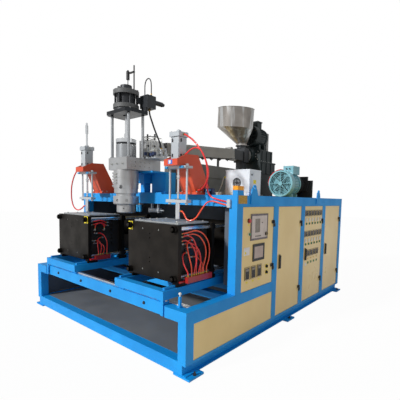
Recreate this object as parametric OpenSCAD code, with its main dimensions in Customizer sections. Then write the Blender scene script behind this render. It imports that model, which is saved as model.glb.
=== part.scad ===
// Two-station extrusion blow moulding machine. Lengths are in millimetres, Z is up.
// X runs across the front, with the doors on the +X side. Y runs from the front to the rear.
// Places along Y are written from the front face of the machine, and from_front() centres them.

/* [Machine frame] */
// Overall width of the steel frame
frame_w = 3000; // [2900:10:3200]
// Overall depth of the steel frame
frame_d = 3900; // [3850:10:4200]
// Height of the bed rails that carry the mould carriages
bed_h = 600; // [590:5:640]
// Height of the cabinet roof
cabinet_h = 1635; // [1625:5:1700]
// Width of the square posts seen from the front
post_w = 100; // [80:5:120]
// Distance from the front face to the cabinet and its portal beam
cabinet_y = 715; // [700:5:730]
// Height of the portal beam and the top rails
top_rail_h = 120; // [100:5:140]
// Height of the bed rails at the sides
side_bed_h = 121; // [100:1:130]
// Thickness of the foot plates
foot_t = 20; // [15:1:30]
// Overhang of the foot plates beyond the sides
foot_out = 53; // [45:1:70]
// Radius of the anchor holes in the foot plates
anchor_r = 11; // [8:0.5:14]
// Height of the base channel
channel_h = 104; // [90:1:120]

/* [Doors] */
// Width of one door opening
door_w = 655; // [600:5:660]
// Distance from one door opening to the next
door_pitch = 773; // [770:1:780]
// Front edge of the first door opening
door_y = 822; // [815:1:830]
// Gap round each door leaf
door_gap = 3; // [2:0.5:5]
// Thickness of the sheet that doors and panels are folded from
sheet_t = 2; // [1.5:0.5:3]
// Depth of the folded door leaf
leaf_t = 20; // [15:1:30]
// Radius of the hinge pins
hinge_r = 4; // [3:0.5:6]
// Length of the door handles
handle_len = 165; // [120:5:200]
// Height of the handles' pivots
handle_z = 890; // [850:5:950]

/* [Clamping stations] */
// Distance of each mould centre from the machine centre
station_x = 815; // [800:1:830]
// Width of the platens
platen_w = 780; // [700:5:780]
// Height of the platens
platen_h = 565; // [520:5:600]
// Thickness of the platens
platen_t = 45; // [35:1:60]
// Height of the lower edge of the platens
platen_z = 770; // [765:1:790]
// Parting line of the moulds, in line with the die
die_y = 450; // [445:1:455]
// Width of one mould half
mould_w = 640; // [560:5:640]
// Thickness of one mould half
mould_t = 225; // [215:1:225]
// Radius of the tie bars
tie_r = 22; // [18:0.5:26]
// Radius of the bore of the clamp cylinders
clamp_r = 62; // [50:1:75]
// Height of the carriage beams
carriage_h = 85; // [70:1:95]
// Width of the carriage
carriage_w = 770; // [720:5:780]

/* [Moulded container] */
// Width of the container that the moulds form
can_w = 250; // [200:5:280]
// Height of the container
can_h = 300; // [220:5:340]
// Depth of the container
can_d = 160; // [120:5:180]
// Radius of its neck
neck_r = 30; // [29:0.5:36]

/* [Blow units] */
// Distance of each blow pin from the machine centre
pin_x = 918; // [900:1:930]
// Radius of the blow pin sleeve
pin_r = 27; // [22:0.5:28]
// Radius of the blow pin rod
pin_rod_r = 12; // [10:0.5:14]
// Spacing of the guide rods from the pin
guide_x = 127; // [110:1:135]
// Radius of the guide rods
guide_r = 11; // [8:0.5:14]
// Width of the square blow cylinder
blow_w = 115; // [100:1:125]
// Travel of the blow pin up and down from rest
pin_travel = 70; // [40:5:80]

/* [Die head] */
// Radius of the die head body
head_r = 148; // [130:1:155]
// Radius of the die ring
ring_r = 153; // [140:1:160]
// Radius of the die bushing
bushing_r = 113; // [100:1:120]
// Height of the lower face of the die bushing
die_z = 1396; // [1390:1:1410]
// Height of the lower face of the head block
block_z = 1916; // [1910:1:1930]
// Height of the head block
block_h = 146; // [130:1:160]
// Width of the head block
block_w = 370; // [340:5:400]
// Radius of the columns that carry the push cylinder
column_r = 17; // [14:0.5:22]
// Height of the plate on top of the columns
stand_z = 2576; // [2560:1:2590]
// Travel of the push ram
ram_travel = 130; // [80:5:150]
// Radius of the push cylinder barrel
push_r = 110; // [95:1:115]

/* [Extruder] */
// Radius of the extruder barrel
barrel_r = 75; // [65:1:80]
// Radius of the bore of the barrel
bore_r = 34; // [30:0.5:38]
// Slope of the extruder barrel in degrees
barrel_tilt = 4.2; // [4:0.1:4.4]
// Radius of the hopper
hopper_r = 312; // [280:1:330]
// Height of the hopper cylinder
hopper_h = 326; // [280:1:340]
// Lean of the hopper towards the doors in degrees
hopper_lean = 6; // [0:0.5:7]
// Width of the gearbox
gearbox_w = 500; // [460:5:520]
// Radius of the fan cowl of the extruder motor
motor_r = 195; // [180:1:200]
// Radius of the fan cowl of the pump motor
pump_motor_r = 228; // [205:1:235]

/* [Hidden] */
$fn = 48;

// Gap left at a welded joint between two tubes of one frame
weld = 0.2;
// Gap between two pieces where one is bolted on to the other
seat = 0.3;
// Clearance between pieces that slide on each other
slide_gap = 0.5;
// Clearance of a turning or sliding pin in its hole
pin_fit = 0.05;
// A little more than flush, for cuts that run through
cut = 1;

half_w = frame_w / 2;
post_in = half_w - post_w;
post_z = foot_t + channel_h;
sill_h = 15;
sill_z = post_z + sill_h;
side_post_d = door_pitch - door_w;
rail_z = cabinet_h - top_rail_h;
roof_z = cabinet_h;
door_z = sill_z;
door_top = rail_z;
bed_front_h = 103;

// Shuttle rails
rail_back = 20;
beam_top = bed_h + 20;
guide_w = 34;
guide_h = 20;
front_rail_y = 60;
rear_rail_y = 1170;
corner_x = 1220;

// Carriages and clamps
carriage_z = 645;
carriage_top = carriage_z + carriage_h;
platen_top = platen_z + platen_h;
platen_y = die_y - mould_t - platen_t;
platen_back = platen_y + platen_t;
rear_platen_y = 2 * die_y - platen_back;
rear_back = rear_platen_y + platen_t;
back_plate_y = 1120;
tie_x = platen_w / 2 - 45;
tie_low = platen_z + 42;
tie_high = platen_top - 42;
mould_z = platen_z + 25;
mould_top = platen_top;
top_plate_t = 15;
neck_x = pin_x - station_x;

// Blow units
arm_w = 200;
arm_t = 12;
arm_floor = 1925;
cage_t = 24;
cage_top = arm_floor - cage_t - seat;
cage_low = 1544;
low_t = 32;
pin_tip = mould_top + top_plate_t + 15;
cylinder_top = 2273;
piston_z = 2095;
piston_t = 30;

// Die head stack
ring_z = die_z + 101;
neck_z = ring_z + 105;
body_z = neck_z + 33;
block_top = block_z + block_h;
block_front = 325;
block_back = 710;
column_x = 166;
column_front = die_y - 85;
column_back = die_y + 120;
stand_t = 40;
push_z = stand_z + stand_t;
push_lower = push_z + 31;
push_upper = push_z + 193;
push_top = push_upper + 50;
ram_disc_z = 2245;

// Extruder line
axis_y0 = 1510;
axis_z0 = 2278;
barrel_front = 960;
barrel_back = 3048;
throat_y = 2900;
gearbox_y = 3150;
gearbox_d = 550;
gearbox_upper_d = 440;
gearbox_z = 2070;
gearbox_split = 2270;
gearbox_top = 2500;
hopper_y = 2720;
hopper_rim = 3162;
hopper_base = 2549;
outlet_r = 92;
motor_y = 3130;
motor_z = 2765;
motor_len = 400;
pump_x = 680;
pump_y = 3139;
pump_z = roof_z + 245;
pump_len = 400;

// Doors
hinge_x = half_w + 9;
handle_base_t = 10;
leaf_x = half_w - 4;
housing_d = 210;

// Hand-chosen routes of the hoses, from the front face of the machine
COOLING_RIGHT = [
    [[1162, 262, 1244], [1176, 340, 1252], [1202, 424, 1268], [1220, 510, 1238], [1234, 576, 1160],
     [1240, 600, 1060], [1242, 588, 960], [1240, 560, 892], [1240, 556, 832]],
    [[1162, 270, 1212], [1176, 336, 1222], [1200, 388, 1190], [1222, 410, 1120], [1236, 410, 1040],
     [1240, 404, 960], [1240, 400, 892], [1240, 400, 832]],
    [[1162, 400, 1172], [1174, 352, 1169], [1192, 314, 1138], [1216, 300, 1080], [1234, 306, 1010],
     [1240, 324, 944], [1240, 334, 888], [1240, 334, 832]],
    [[1162, 384, 1100], [1182, 438, 1090], [1212, 468, 1036], [1234, 470, 962], [1240, 466, 892],
     [1240, 466, 832]],
    [[1162, 330, 1050], [1174, 286, 1047], [1192, 254, 1018], [1216, 244, 964], [1234, 260, 910],
     [1240, 280, 868], [1240, 286, 832]],
    [[1162, 420, 1000], [1180, 472, 990], [1210, 506, 944], [1234, 514, 888], [1240, 512, 832]]
];
COOLING_LEFT = [
    [[-468, 300, 1166], [-468, 306, 1202], [-468, 330, 1228], [-468, 368, 1238], [-468, 406, 1228],
     [-468, 430, 1202], [-468, 436, 1166]],
    [[-468, 330, 1106], [-458, 382, 1102], [-438, 420, 1064], [-416, 438, 1000], [-409, 440, 940],
     [-408, 436, 884], [-408, 436, 832]],
    [[-468, 392, 1046], [-454, 346, 1040], [-430, 314, 996], [-412, 306, 940], [-408, 312, 884],
     [-408, 312, 832]],
    [[-468, 320, 976], [-458, 362, 972], [-434, 396, 942], [-414, 402, 896], [-408, 388, 860], [-408, 376, 832]]
];
AIR_HOSES = [
    [[988, 450, 2249], [1022, 450, 2240], [1062, 450, 2216], [1110, 451, 2186], [1154, 452, 2148],
     [1196, 456, 2104], [1236, 462, 2052], [1268, 470, 1990], [1286, 484, 1925], [1284, 506, 1862],
     [1258, 532, 1806], [1212, 562, 1758], [1150, 594, 1718], [1084, 622, 1690], [1018, 640, 1680]],
    [[975.5, 470, 2040], [1010, 477, 2060], [1052, 483, 2088], [1102, 488, 2106], [1152, 492, 2102],
     [1198, 498, 2068], [1230, 508, 2008], [1244, 522, 1940], [1238, 544, 1874], [1212, 576, 1810],
     [1176, 614, 1752], [1150, 650, 1700], [1142, 680, 1656], [1160, 697, 1620], [1202, 701, 1599],
     [1264, 702, 1584], [1330, 703, 1572], [1386, 703, 1566]],
    [[952, 450, 1455], [982, 450, 1451], [1010, 450, 1428], [1030, 450, 1396], [1056, 452, 1371],
     [1092, 460, 1364], [1127, 477, 1377], [1148, 506, 1412], [1156, 546, 1464], [1158, 596, 1516],
     [1164, 642, 1552], [1192, 680, 1566], [1242, 699, 1558], [1310, 703, 1542], [1386, 703, 1530]],
    [[-1018, 400, 1970], [-1100, 402, 1950], [-1180, 406, 1896], [-1250, 412, 1820], [-1306, 420, 1730],
     [-1338, 430, 1630], [-1344, 438, 1530], [-1316, 446, 1440], [-1248, 450, 1392], [-1160, 452, 1384],
     [-1076, 452, 1412], [-1014, 450, 1444], [-952, 450, 1455]],
    [[134, 625, 2820], [134, 625, 2880], [134, 625, 2935], [141, 625, 2978], [162, 625, 3010],
     [194, 625, 3022], [226, 625, 3010], [247, 625, 2978], [254, 625, 2935], [256, 625, 2880],
     [256, 625, 2820]],
    [[204, 640, 2651.7], [205, 640, 2624], [214, 642, 2586], [238, 646, 2526], [266, 654, 2452],
     [286, 668, 2388], [312, 688, 2310], [336, 704, 2240], [346, 712, 2180]]
];
COOLING_R = 7;
AIR_R = [9, 8, 8, 9, 6.5, 10];

module from_front() {
    translate([0, -frame_d / 2, 0]) children();
}

module both_sides() {
    children();
    mirror([1, 0, 0]) children();
}

// A box between two corners given as ranges
module span(x, y, z) {
    translate([x[0], y[0], z[0]]) cube([x[1] - x[0], y[1] - y[0], z[1] - z[0]]);
}

module rod_x(r, l) {
    rotate([0, 90, 0]) cylinder(r = r, h = l);
}

module rod_y(r, l) {
    rotate([-90, 0, 0]) cylinder(r = r, h = l);
}

// A flat shape drawn in Y and Z, given a thickness along X
module side_plate(t) {
    rotate([90, 0, 90]) linear_extrude(t) children();
}

module rounded_rect(w, h, r) {
    square([w - 2 * r, h], center = true);
    square([w, h - 2 * r], center = true);
    for (sx = [-1, 1], sy = [-1, 1])
        translate([sx * (w / 2 - r), sy * (h / 2 - r)]) circle(r = r);
}

// A sheet folded into a shallow tray, open at the back
module tray(w, h, depth, t) {
    difference() {
        cube([w, h, depth]);
        translate([t, t, -cut]) cube([w - 2 * t, h - 2 * t, depth - t + cut]);
    }
}

// A tray standing on the +X side, its face looking out
module side_tray(y, z, face) {
    translate([face, y[0], z[0]]) rotate([90, 0, 90])
        translate([0, 0, -leaf_t]) tray(y[1] - y[0], z[1] - z[0], leaf_t, sheet_t);
}

module bolt_head(r) {
    cylinder(r = r, h = r * 1.1, $fn = 6);
}

// Hoses: a smooth curve through the route's points, swept as one tube
function blend_point(a, b, c, d, t) =
    0.5 * (2 * b + (c - a) * t + (2 * a - 5 * b + 4 * c - d) * t * t
        + (3 * b - a - 3 * c + d) * t * t * t);

function smooth_route(p, n) = [
    for (i = [0:len(p) - 2]) for (k = [0:n - 1])
        blend_point(p[max(i - 1, 0)], p[i], p[i + 1], p[min(i + 2, len(p) - 1)], k / n),
    p[len(p) - 1]
];

function unit(v) = v / norm(v);

// The row axis nearest to a direction, so that a hose meets its fitting squarely
function square_to(v) = let (m = max(abs(v[0]), abs(v[1]), abs(v[2])))
    [for (k = [0:2]) abs(v[k]) == m ? sign(v[k]) : 0];

// The side direction is carried from ring to ring, so that the tube never twists
function carried(t, u, i = 0, done = []) = i == len(t) ? done :
    let (next = unit(u - (u * t[i]) * t[i])) carried(t, next, i + 1, concat(done, [next]));

function ring_at(c, t, u, r, sides) = let (v = cross(t, u))
    [for (k = [0:sides - 1]) c + r * (cos(360 * k / sides) * u + sin(360 * k / sides) * v)];

module hose(points, r, sides = 10, steps = 2) {
    path = smooth_route(points, steps);
    n = len(path);
    last = len(points) - 1;
    along = [for (i = [0:n - 1]) i == 0 ? square_to(points[1] - points[0]) :
        i == n - 1 ? square_to(points[last] - points[last - 1]) : unit(path[i + 1] - path[i - 1])];
    first = unit(cross(along[0], [0.3, 0.5, 0.8]));
    side = carried(along, first);
    rings = [for (i = [0:n - 1]) each ring_at(path[i], along[i], side[i], r, sides)];
    walls = [for (i = [0:n - 2]) for (k = [0:sides - 1])
        [i * sides + k, i * sides + (k + 1) % sides,
         (i + 1) * sides + (k + 1) % sides, (i + 1) * sides + k]];
    near_cap = [for (k = [0:sides - 1]) sides - 1 - k];
    far_cap = [for (k = [0:sides - 1]) (n - 1) * sides + k];
    polyhedron(rings, concat([near_cap], walls, [far_cap]), convexity = 6);
}

// Base frame: foot plates, recessed channels, sill, lower posts and bed rails
module channel_section() {
    difference() {
        square([50, channel_h]);
        translate([7, 9]) square([50, channel_h - 18]);
    }
}

module foot_plate(y0) {
    difference() {
        span([half_w - 150, half_w + foot_out], [y0, y0 + 192], [0, foot_t - weld]);
        translate([half_w + foot_out / 2, y0 + 96, -cut]) cylinder(r = anchor_r, h = foot_t + 2 * cut);
    }
}

module base_frame() color("deepskyblue") from_front() {
    both_sides() {
        foot_plate(-5);
        foot_plate(frame_d / 2 - 96);
        foot_plate(frame_d + 5 - 192);
        translate([half_w - 50, frame_d - weld, foot_t]) rotate([90, 0, 0])
            linear_extrude(frame_d - 2 * weld) channel_section();
        span([post_in, half_w], [0, frame_d], [post_z + weld, sill_z]);
        span([post_in, half_w], [0, post_w], [sill_z + weld, bed_h - side_bed_h - weld]);
        span([post_in, half_w], [weld, cabinet_y - weld], [bed_h - side_bed_h, bed_h]);
        span([post_in, half_w], [cabinet_y, door_y + door_w + side_post_d / 2],
            [bed_h - side_bed_h, bed_h - weld]);
        span([corner_x, post_in - weld], [0, post_w], [bed_h - bed_front_h, bed_h]);
        span([corner_x - 40, corner_x - weld], [rail_back, post_w], [bed_h - bed_front_h, bed_h]);
    }
    for (y = [0, frame_d - 50])
        span([-half_w + 50 + weld, half_w - 50 - weld], [y, y + 50], [foot_t + weld, post_z]);
    for (y = [0, frame_d - post_w])
        span([-post_in + weld, post_in - weld], [y, y + post_w], [post_z + weld, sill_z]);
    for (y = [1300, 2600])
        span([-half_w + 50 + weld, half_w - 50 - weld], [y, y + 80], [foot_t + weld, post_z]);
    difference() {
        span([-corner_x + 40 + weld, corner_x - 40 - weld], [rail_back, post_w], [bed_h - bed_front_h, beam_top]);
        for (s = [-1, 1], x = [315, 900]) translate([s * x, rail_back - cut, bed_h - 42])
            rod_y(9, 26);
    }
    span([-post_in + weld, post_in - weld], [rear_rail_y - 50, rear_rail_y + 50],
        [bed_h - bed_front_h, beam_top]);
    span([-post_in + weld, post_in - weld], [cabinet_y, cabinet_y + 100], [bed_h - bed_front_h, bed_h - 30]);
}

// Cabinet frame: posts, top rails, portal beam, lifting lugs and the fixed half of the hinges
module lifting_lug(y0) {
    translate([half_w + weld, y0, 1545]) side_plate(12) difference() {
        union() {
            polygon([[0, 0], [165, 0], [118, 150], [100, 205 - 30], [45, 175], [16, 160]]);
            translate([72, 175]) circle(r = 30);
        }
        translate([72, 172]) circle(r = 15);
    }
}

function door_start(i) = door_y + (i - 1) * door_pitch;
function hinge_y(i) = door_start(i) + door_w;
function hinge_heights(i) = i == 1 ? [794, 1315] : [372, 1280];

module fixed_hinge(i) {
    for (z = hinge_heights(i)) translate([hinge_x, hinge_y(i), z - 40]) {
        cylinder(r = 8, h = 39);
        cylinder(r = hinge_r, h = 76);
        translate([-9, 4, 0]) cube([4, 36, 39]);
    }
}

module cabinet_frame() color("dodgerblue") from_front() {
    both_sides() {
        span([post_in, half_w], [cabinet_y + weld, door_y], [bed_h, rail_z - weld]);
        for (i = [1:3]) span([post_in, half_w], [hinge_y(i), door_start(i + 1)],
            [i == 1 ? bed_h : sill_z + weld, rail_z - weld]);
        span([post_in, half_w], [hinge_y(4), frame_d], [sill_z + weld, rail_z - weld]);
        span([post_in, half_w], [cabinet_y + post_w + weld, frame_d], [rail_z, cabinet_h]);
        lifting_lug(950);
        lifting_lug(2735);
    }
    span([-half_w, half_w], [cabinet_y, cabinet_y + post_w], [rail_z, cabinet_h]);
    span([-post_in + weld, post_in - weld], [frame_d - post_w, frame_d], [rail_z, cabinet_h]);
    for (y = [1900, 2800]) span([-post_in + weld, post_in - weld], [y, y + 80], [rail_z + 20, cabinet_h - sheet_t * 2]);
    span([half_w - 62, half_w], [cabinet_y + 2, cabinet_y + 110], [cabinet_h + weld, cabinet_h + 92]);
    for (i = [1:4]) fixed_hinge(i);
}

// Sheets inside: floor pan, wall behind the stations and the housings behind doors 1 and 3
module housing(y, z) {
    x = [half_w - leaf_t - 6 - housing_d, half_w - leaf_t - 6];
    difference() {
        span(x, [y[0] + seat, y[1] - seat], [z[0] + seat, z[1] - seat]);
        span([x[0] + sheet_t, x[1] + cut], [y[0] + seat + sheet_t, y[1] - seat - sheet_t],
            [z[0] + seat + sheet_t, z[1] - seat - sheet_t]);
    }
}

module inner_sheets() color("slategray") from_front() {
    span([-post_in, post_in], [post_w, frame_d - post_w], [sill_z, sill_z + 3]);
    span([-post_in, post_in], [1587, 1590], [sill_z + 3 + weld, rail_z]);
    housing([door_start(1), hinge_y(1)], [bed_h + 50, door_top]);
    housing([door_start(3), hinge_y(3)], [door_z + 10, door_top]);
}

// Fixed panels: under door 1, the closed side, the rear and the roof
module outer_panels() color("tan") from_front() {
    side_tray([post_w + weld, door_y + door_w + side_post_d - weld],
        [sill_z + weld, bed_h - side_bed_h - weld], leaf_x);
    mirror([1, 0, 0]) {
        side_tray([post_w + weld, door_y + door_w + side_post_d - weld],
            [sill_z + weld, bed_h - side_bed_h - weld], leaf_x);
        side_tray([door_start(1) + weld, hinge_y(1) - weld], [bed_h + weld, door_top - weld], leaf_x);
        for (i = [2:4]) side_tray([door_start(i) + weld, hinge_y(i) - weld],
            [door_z + weld, door_top - weld], leaf_x);
    }
    bay = 2 * post_in / 3;
    for (k = [0:2]) translate([post_in - bay * k, frame_d - 4, door_z + weld]) rotate([90, 0, 180])
        translate([weld, 0, -leaf_t]) tray(bay - 2 * weld, door_top - door_z - 2 * weld, leaf_t, sheet_t);
    span([-post_in + weld, post_in - weld], [cabinet_y + post_w + weld, frame_d - post_w - weld],
        [cabinet_h - sheet_t * 2, cabinet_h]);
}

// Linear guides that the two carriages run on
module shuttle_rails() color("silver") from_front() {
    difference() {
        span([-corner_x + 42, corner_x - 42], [front_rail_y - guide_w / 2, front_rail_y + guide_w / 2],
            [beam_top, beam_top + guide_h]);
        for (s = [-1, 1]) translate([0, front_rail_y + s * guide_w / 2, beam_top + 9])
            rotate([0, 90, 0]) translate([0, 0, -corner_x]) cylinder(r = 3, h = 2 * corner_x, $fn = 24);
    }
    span([-post_in + 4, post_in - 4], [rear_rail_y - guide_w / 2, rear_rail_y + guide_w / 2],
        [beam_top, beam_top + guide_h]);
}

// Carriage of one station: beams, guide blocks, cross guides and the outer leg plate
module carriage(outer) {
    hw = carriage_w / 2;
    beam = 80;
    leg_in = hw - 35;
    for (y = [[0, beam], [rear_rail_y - 40, rear_rail_y + 40]])
        span([-hw, hw], y, [carriage_z, carriage_top]);
    for (s = [-1, 1]) span([s * hw - (s > 0 ? beam : 0), s * hw + (s > 0 ? 0 : beam)],
        [beam + weld, rear_rail_y - 40 - weld], [carriage_z, carriage_top]);
    span([outer > 0 ? leg_in : -hw, outer > 0 ? hw : -leg_in], [0, 8], [498, carriage_z - weld]);
    for (s = [-1, 1], y = [front_rail_y, rear_rail_y]) {
        difference() {
            span([s * (hw - 70) - 50, s * (hw - 70) + 50], [y - 30, y + 30],
                [beam_top + 3, carriage_z - weld]);
            span([s * (hw - 70) - 60, s * (hw - 70) + 60],
                [y - guide_w / 2 - slide_gap, y + guide_w / 2 + slide_gap],
                [beam_top, beam_top + guide_h + slide_gap]);
        }
    }
    for (s = [-1, 1]) span([s * (hw - 40) - 13, s * (hw - 40) + 13], [40, rear_rail_y],
        [carriage_top + weld, carriage_top + 22]);
}

module carriage_left() color("dodgerblue") from_front() translate([-station_x, 0, 0]) carriage(-1);
module carriage_right() color("dodgerblue") from_front() translate([station_x, 0, 0]) carriage(1);

// Foot blocks that let a platen run on the cross guides of its carriage
module platen_feet(y0, len) {
    hw = carriage_w / 2;
    for (s = [-1, 1]) difference() {
        span([s * (hw - 40) - 30, s * (hw - 40) + 30], [y0, y0 + len], [carriage_top + 2, platen_z]);
        span([s * (hw - 40) - 13 - slide_gap, s * (hw - 40) + 13 + slide_gap], [y0 - cut, y0 + len + cut],
            [carriage_top, carriage_top + 22 + slide_gap]);
    }
}

module tie_places() {
    for (s = [-1, 1], z = [tie_low, tie_high]) translate([s * tie_x, 0, z]) children();
}

// Front platen, tie bars, back plate and clamp cylinder move as one
module front_clamp() {
    difference() {
        span([-platen_w / 2, platen_w / 2], [platen_y, platen_back], [platen_z, platen_top]);
        for (z = [0.28, 0.36, 0.72, 0.8]) translate([-30, platen_y - cut, platen_z + z * platen_h])
            rod_y(7, 22);
        for (z = [0.12, 0.88], x = [-150, 100]) translate([x, platen_y - cut, platen_z + z * platen_h])
            rod_y(11, 16);
    }
    platen_feet(platen_y, 140);
    tie_places() {
        translate([0, platen_y - 34, 0]) rod_y(tie_r + 11, 34);
        translate([0, platen_y - 46, 0]) rod_y(tie_r - 4, 14);
        translate([0, platen_back, 0]) rod_y(tie_r, back_plate_y - platen_back);
        translate([0, back_plate_y + platen_t, 0]) rod_y(tie_r + 11, 34);
    }
    difference() {
        span([-platen_w / 2, platen_w / 2], [back_plate_y, back_plate_y + platen_t], [platen_z, platen_top]);
        translate([0, back_plate_y - cut, platen_z + platen_h / 2])
            rod_y(36 + slide_gap, platen_t + 2 * cut);
    }
    platen_feet(back_plate_y - 20, 90);
    translate([0, back_plate_y + platen_t, platen_z + platen_h / 2]) difference() {
        union() {
            rod_y(clamp_r + 14, 340);
            rod_y(clamp_r + 34, 28);
            translate([0, 320, 0]) rod_y(clamp_r + 26, 34);
        }
        translate([0, 20, 0]) rod_y(clamp_r, 318);
        translate([0, -cut, 0]) rod_y(36 + slide_gap, 40);
    }
}

module front_clamp_left() color("#2a2825") from_front() translate([-station_x, 0, 0]) front_clamp();
module front_clamp_right() color("#2a2825") from_front() translate([station_x, 0, 0]) front_clamp();

// Rear platen with its bushes, feet, clamp rod and piston
module rear_platen() {
    difference() {
        union() {
            span([-platen_w / 2, platen_w / 2], [rear_platen_y, rear_back], [platen_z, platen_top]);
            tie_places() translate([0, rear_back, 0]) rod_y(tie_r + 14, 30);
        }
        tie_places() translate([0, rear_platen_y - cut, 0]) rod_y(tie_r + 0.3, platen_t + 40);
    }
    platen_feet(rear_platen_y - 30, 120);
    rod_end = back_plate_y + platen_t + 30;
    translate([0, rear_back, platen_z + platen_h / 2]) {
        rod_y(70, 24);
        rod_y(36, rod_end - rear_back);
        translate([0, rod_end - rear_back, 0]) rod_y(clamp_r - 0.5, 40);
    }
}

module rear_platen_left() color("#2a2825") from_front() translate([-station_x, 0, 0]) rear_platen();
module rear_platen_right() color("#2a2825") from_front() translate([station_x, 0, 0]) rear_platen();

// Shape of the container with a handle eye, from the parting line back
module can_outline() {
    difference() {
        rounded_rect(can_w, can_h, 40);
        translate([-can_w / 2 + 62, can_h / 2 - 70]) rounded_rect(34, 64, 16);
    }
}

module cavity() {
    mid = mould_z + 250;
    translate([0, die_y, mid]) rotate([90, 0, 0]) translate([0, 0, -can_d / 2 + 14])
        linear_extrude(can_d - 28) can_outline();
    translate([0, die_y, mid]) rotate([90, 0, 0]) translate([0, 0, -can_d / 2])
        linear_extrude(can_d) difference() {
            rounded_rect(can_w - 30, can_h - 30, 30);
            translate([-can_w / 2 + 62, can_h / 2 - 70]) rounded_rect(48, 78, 23);
        }
    translate([neck_x, die_y, mid]) cylinder(r = neck_r, h = 400);
}

module mould_pair() {
    difference() {
        union() {
            span([-mould_w / 2, mould_w / 2], [platen_back, rear_platen_y], [mould_z, mould_top - weld]);
            span([-mould_w / 2 - 20, mould_w / 2 + 20], [platen_back, rear_platen_y],
                [mould_top, mould_top + top_plate_t]);
            translate([neck_x, die_y, mould_top - 30]) cylinder(r = neck_r + 24, h = 30 + top_plate_t);
        }
        cavity();
        for (s = [-1, 1], z = [0.3, 0.42, 0.52, 0.64, 0.78, 0.86], y = [-110, 110])
            translate([s * mould_w / 2 - 30, die_y + y, mould_z + z * (mould_top - mould_z)]) rod_x(9, 60);
    }
}

module mould_half(front, side) {
    intersection() {
        translate([side * station_x, 0, 0]) mirror([side > 0 ? 0 : 1, 0, 0]) mould_pair();
        span([-half_w, half_w], front > 0 ? [0, die_y] : [die_y, frame_d], [0, cabinet_h]);
    }
}

module mould_front_left() color("silver") from_front() mould_half(1, -1);
module mould_front_right() color("silver") from_front() mould_half(1, 1);
module mould_rear_left() color("silver") from_front() mould_half(-1, -1);
module mould_rear_right() color("silver") from_front() mould_half(-1, 1);

// Cooling water manifold: a bar with fittings, on a bracket from the front platen
module manifold(x, half, y, places) {
    span([x - half, x + half], y, [768, 826]);
    for (p = places) translate([x, p, 826]) cylinder(r = 8, h = 6);
    for (p = places) translate([x, p, 818]) cylinder(r = 13, h = 10, $fn = 6);
}

// An elbow on the mould's side that a hose starts from, at p and along d
module elbow(p, d, face) {
    arm = 22;
    base = p - arm * d;
    translate([face, base[1], base[2]]) {
        rod_x(8, base[0] - face + 7);
        rod_x(11, 10);
    }
    translate(base) rotate([-90 * d[1], 0, 0]) cylinder(r = 8, h = arm);
}

module manifold_right() color("firebrick") from_front() {
    manifold(1240, 26, [260, 620], [286, 334, 400, 466, 512, 556]);
    span([station_x + platen_w / 2 + weld, 1220], [platen_back - 30, 300], [772, 790]);
    for (route = COOLING_RIGHT)
        elbow(route[0], [0, sign(route[1][1] - route[0][1]), 0], station_x + mould_w / 2);
}

module manifold_left() color("firebrick") from_front() {
    manifold(-408, 15, [260, 480], [312, 376, 436]);
    span([-station_x + platen_w / 2 + weld, -393], [platen_back - 30, 262], [772, 790]);
    face = mould_w / 2 - station_x;
    loop = COOLING_LEFT[0];
    elbow(loop[0], [0, 0, 1], face);
    elbow(loop[len(loop) - 1], [0, 0, 1], face);
    for (i = [1:3]) elbow(COOLING_LEFT[i][0], [0, sign(COOLING_LEFT[i][1][1] - COOLING_LEFT[i][0][1]), 0], face);
}

module cooling_hoses_right() color("tomato") from_front()
    for (route = COOLING_RIGHT) hose(route, COOLING_R);

module cooling_hoses_left() color("crimson") from_front()
    for (route = COOLING_LEFT) hose(route, COOLING_R);

module air_hoses() color("orangered") from_front()
    for (i = [0:len(AIR_HOSES) - 1]) hose(AIR_HOSES[i], AIR_R[i]);

// Blow units: welded arms on the portal beam carry a cylinder and a guide cage each
module arm_profile() {
    polygon([[335, arm_floor], [335, 1988], [470, 2048], [645, 2055], [845, 1705], [845, 1660],
        [612, 1660], [590, 1705], [520, 1875], [508, arm_floor]]);
}

module arm_inside() {
    polygon([[347, arm_floor + arm_t], [347, 2100], [540, 2100], [540, 2036], [637, 2042],
        [833, 1702], [833, 1672], [620, 1672], [601, 1709], [530, 1882], [518, arm_floor + arm_t]]);
}

module blow_arm() {
    translate([-arm_w / 2, 0, 0]) side_plate(arm_t) arm_profile();
    translate([arm_w / 2 - arm_t, 0, 0]) side_plate(arm_t) arm_profile();
    difference() {
        translate([-arm_w / 2 + arm_t, 0, 0]) side_plate(arm_w - 2 * arm_t) difference() {
            arm_profile();
            arm_inside();
        }
        translate([0, die_y, arm_floor - cut]) cylinder(r = pin_rod_r + 4, h = 20);
    }
    difference() {
        span([-130, 130], [600, 860], [roof_z, 1660]);
        span([-140, 140], [cabinet_y + post_w + 10, 900], [roof_z - cut, roof_z + 4]);
    }
}

module blow_arms() color("firebrick") from_front() for (s = [-1, 1]) translate([s * pin_x, 0, 0]) blow_arm();

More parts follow.
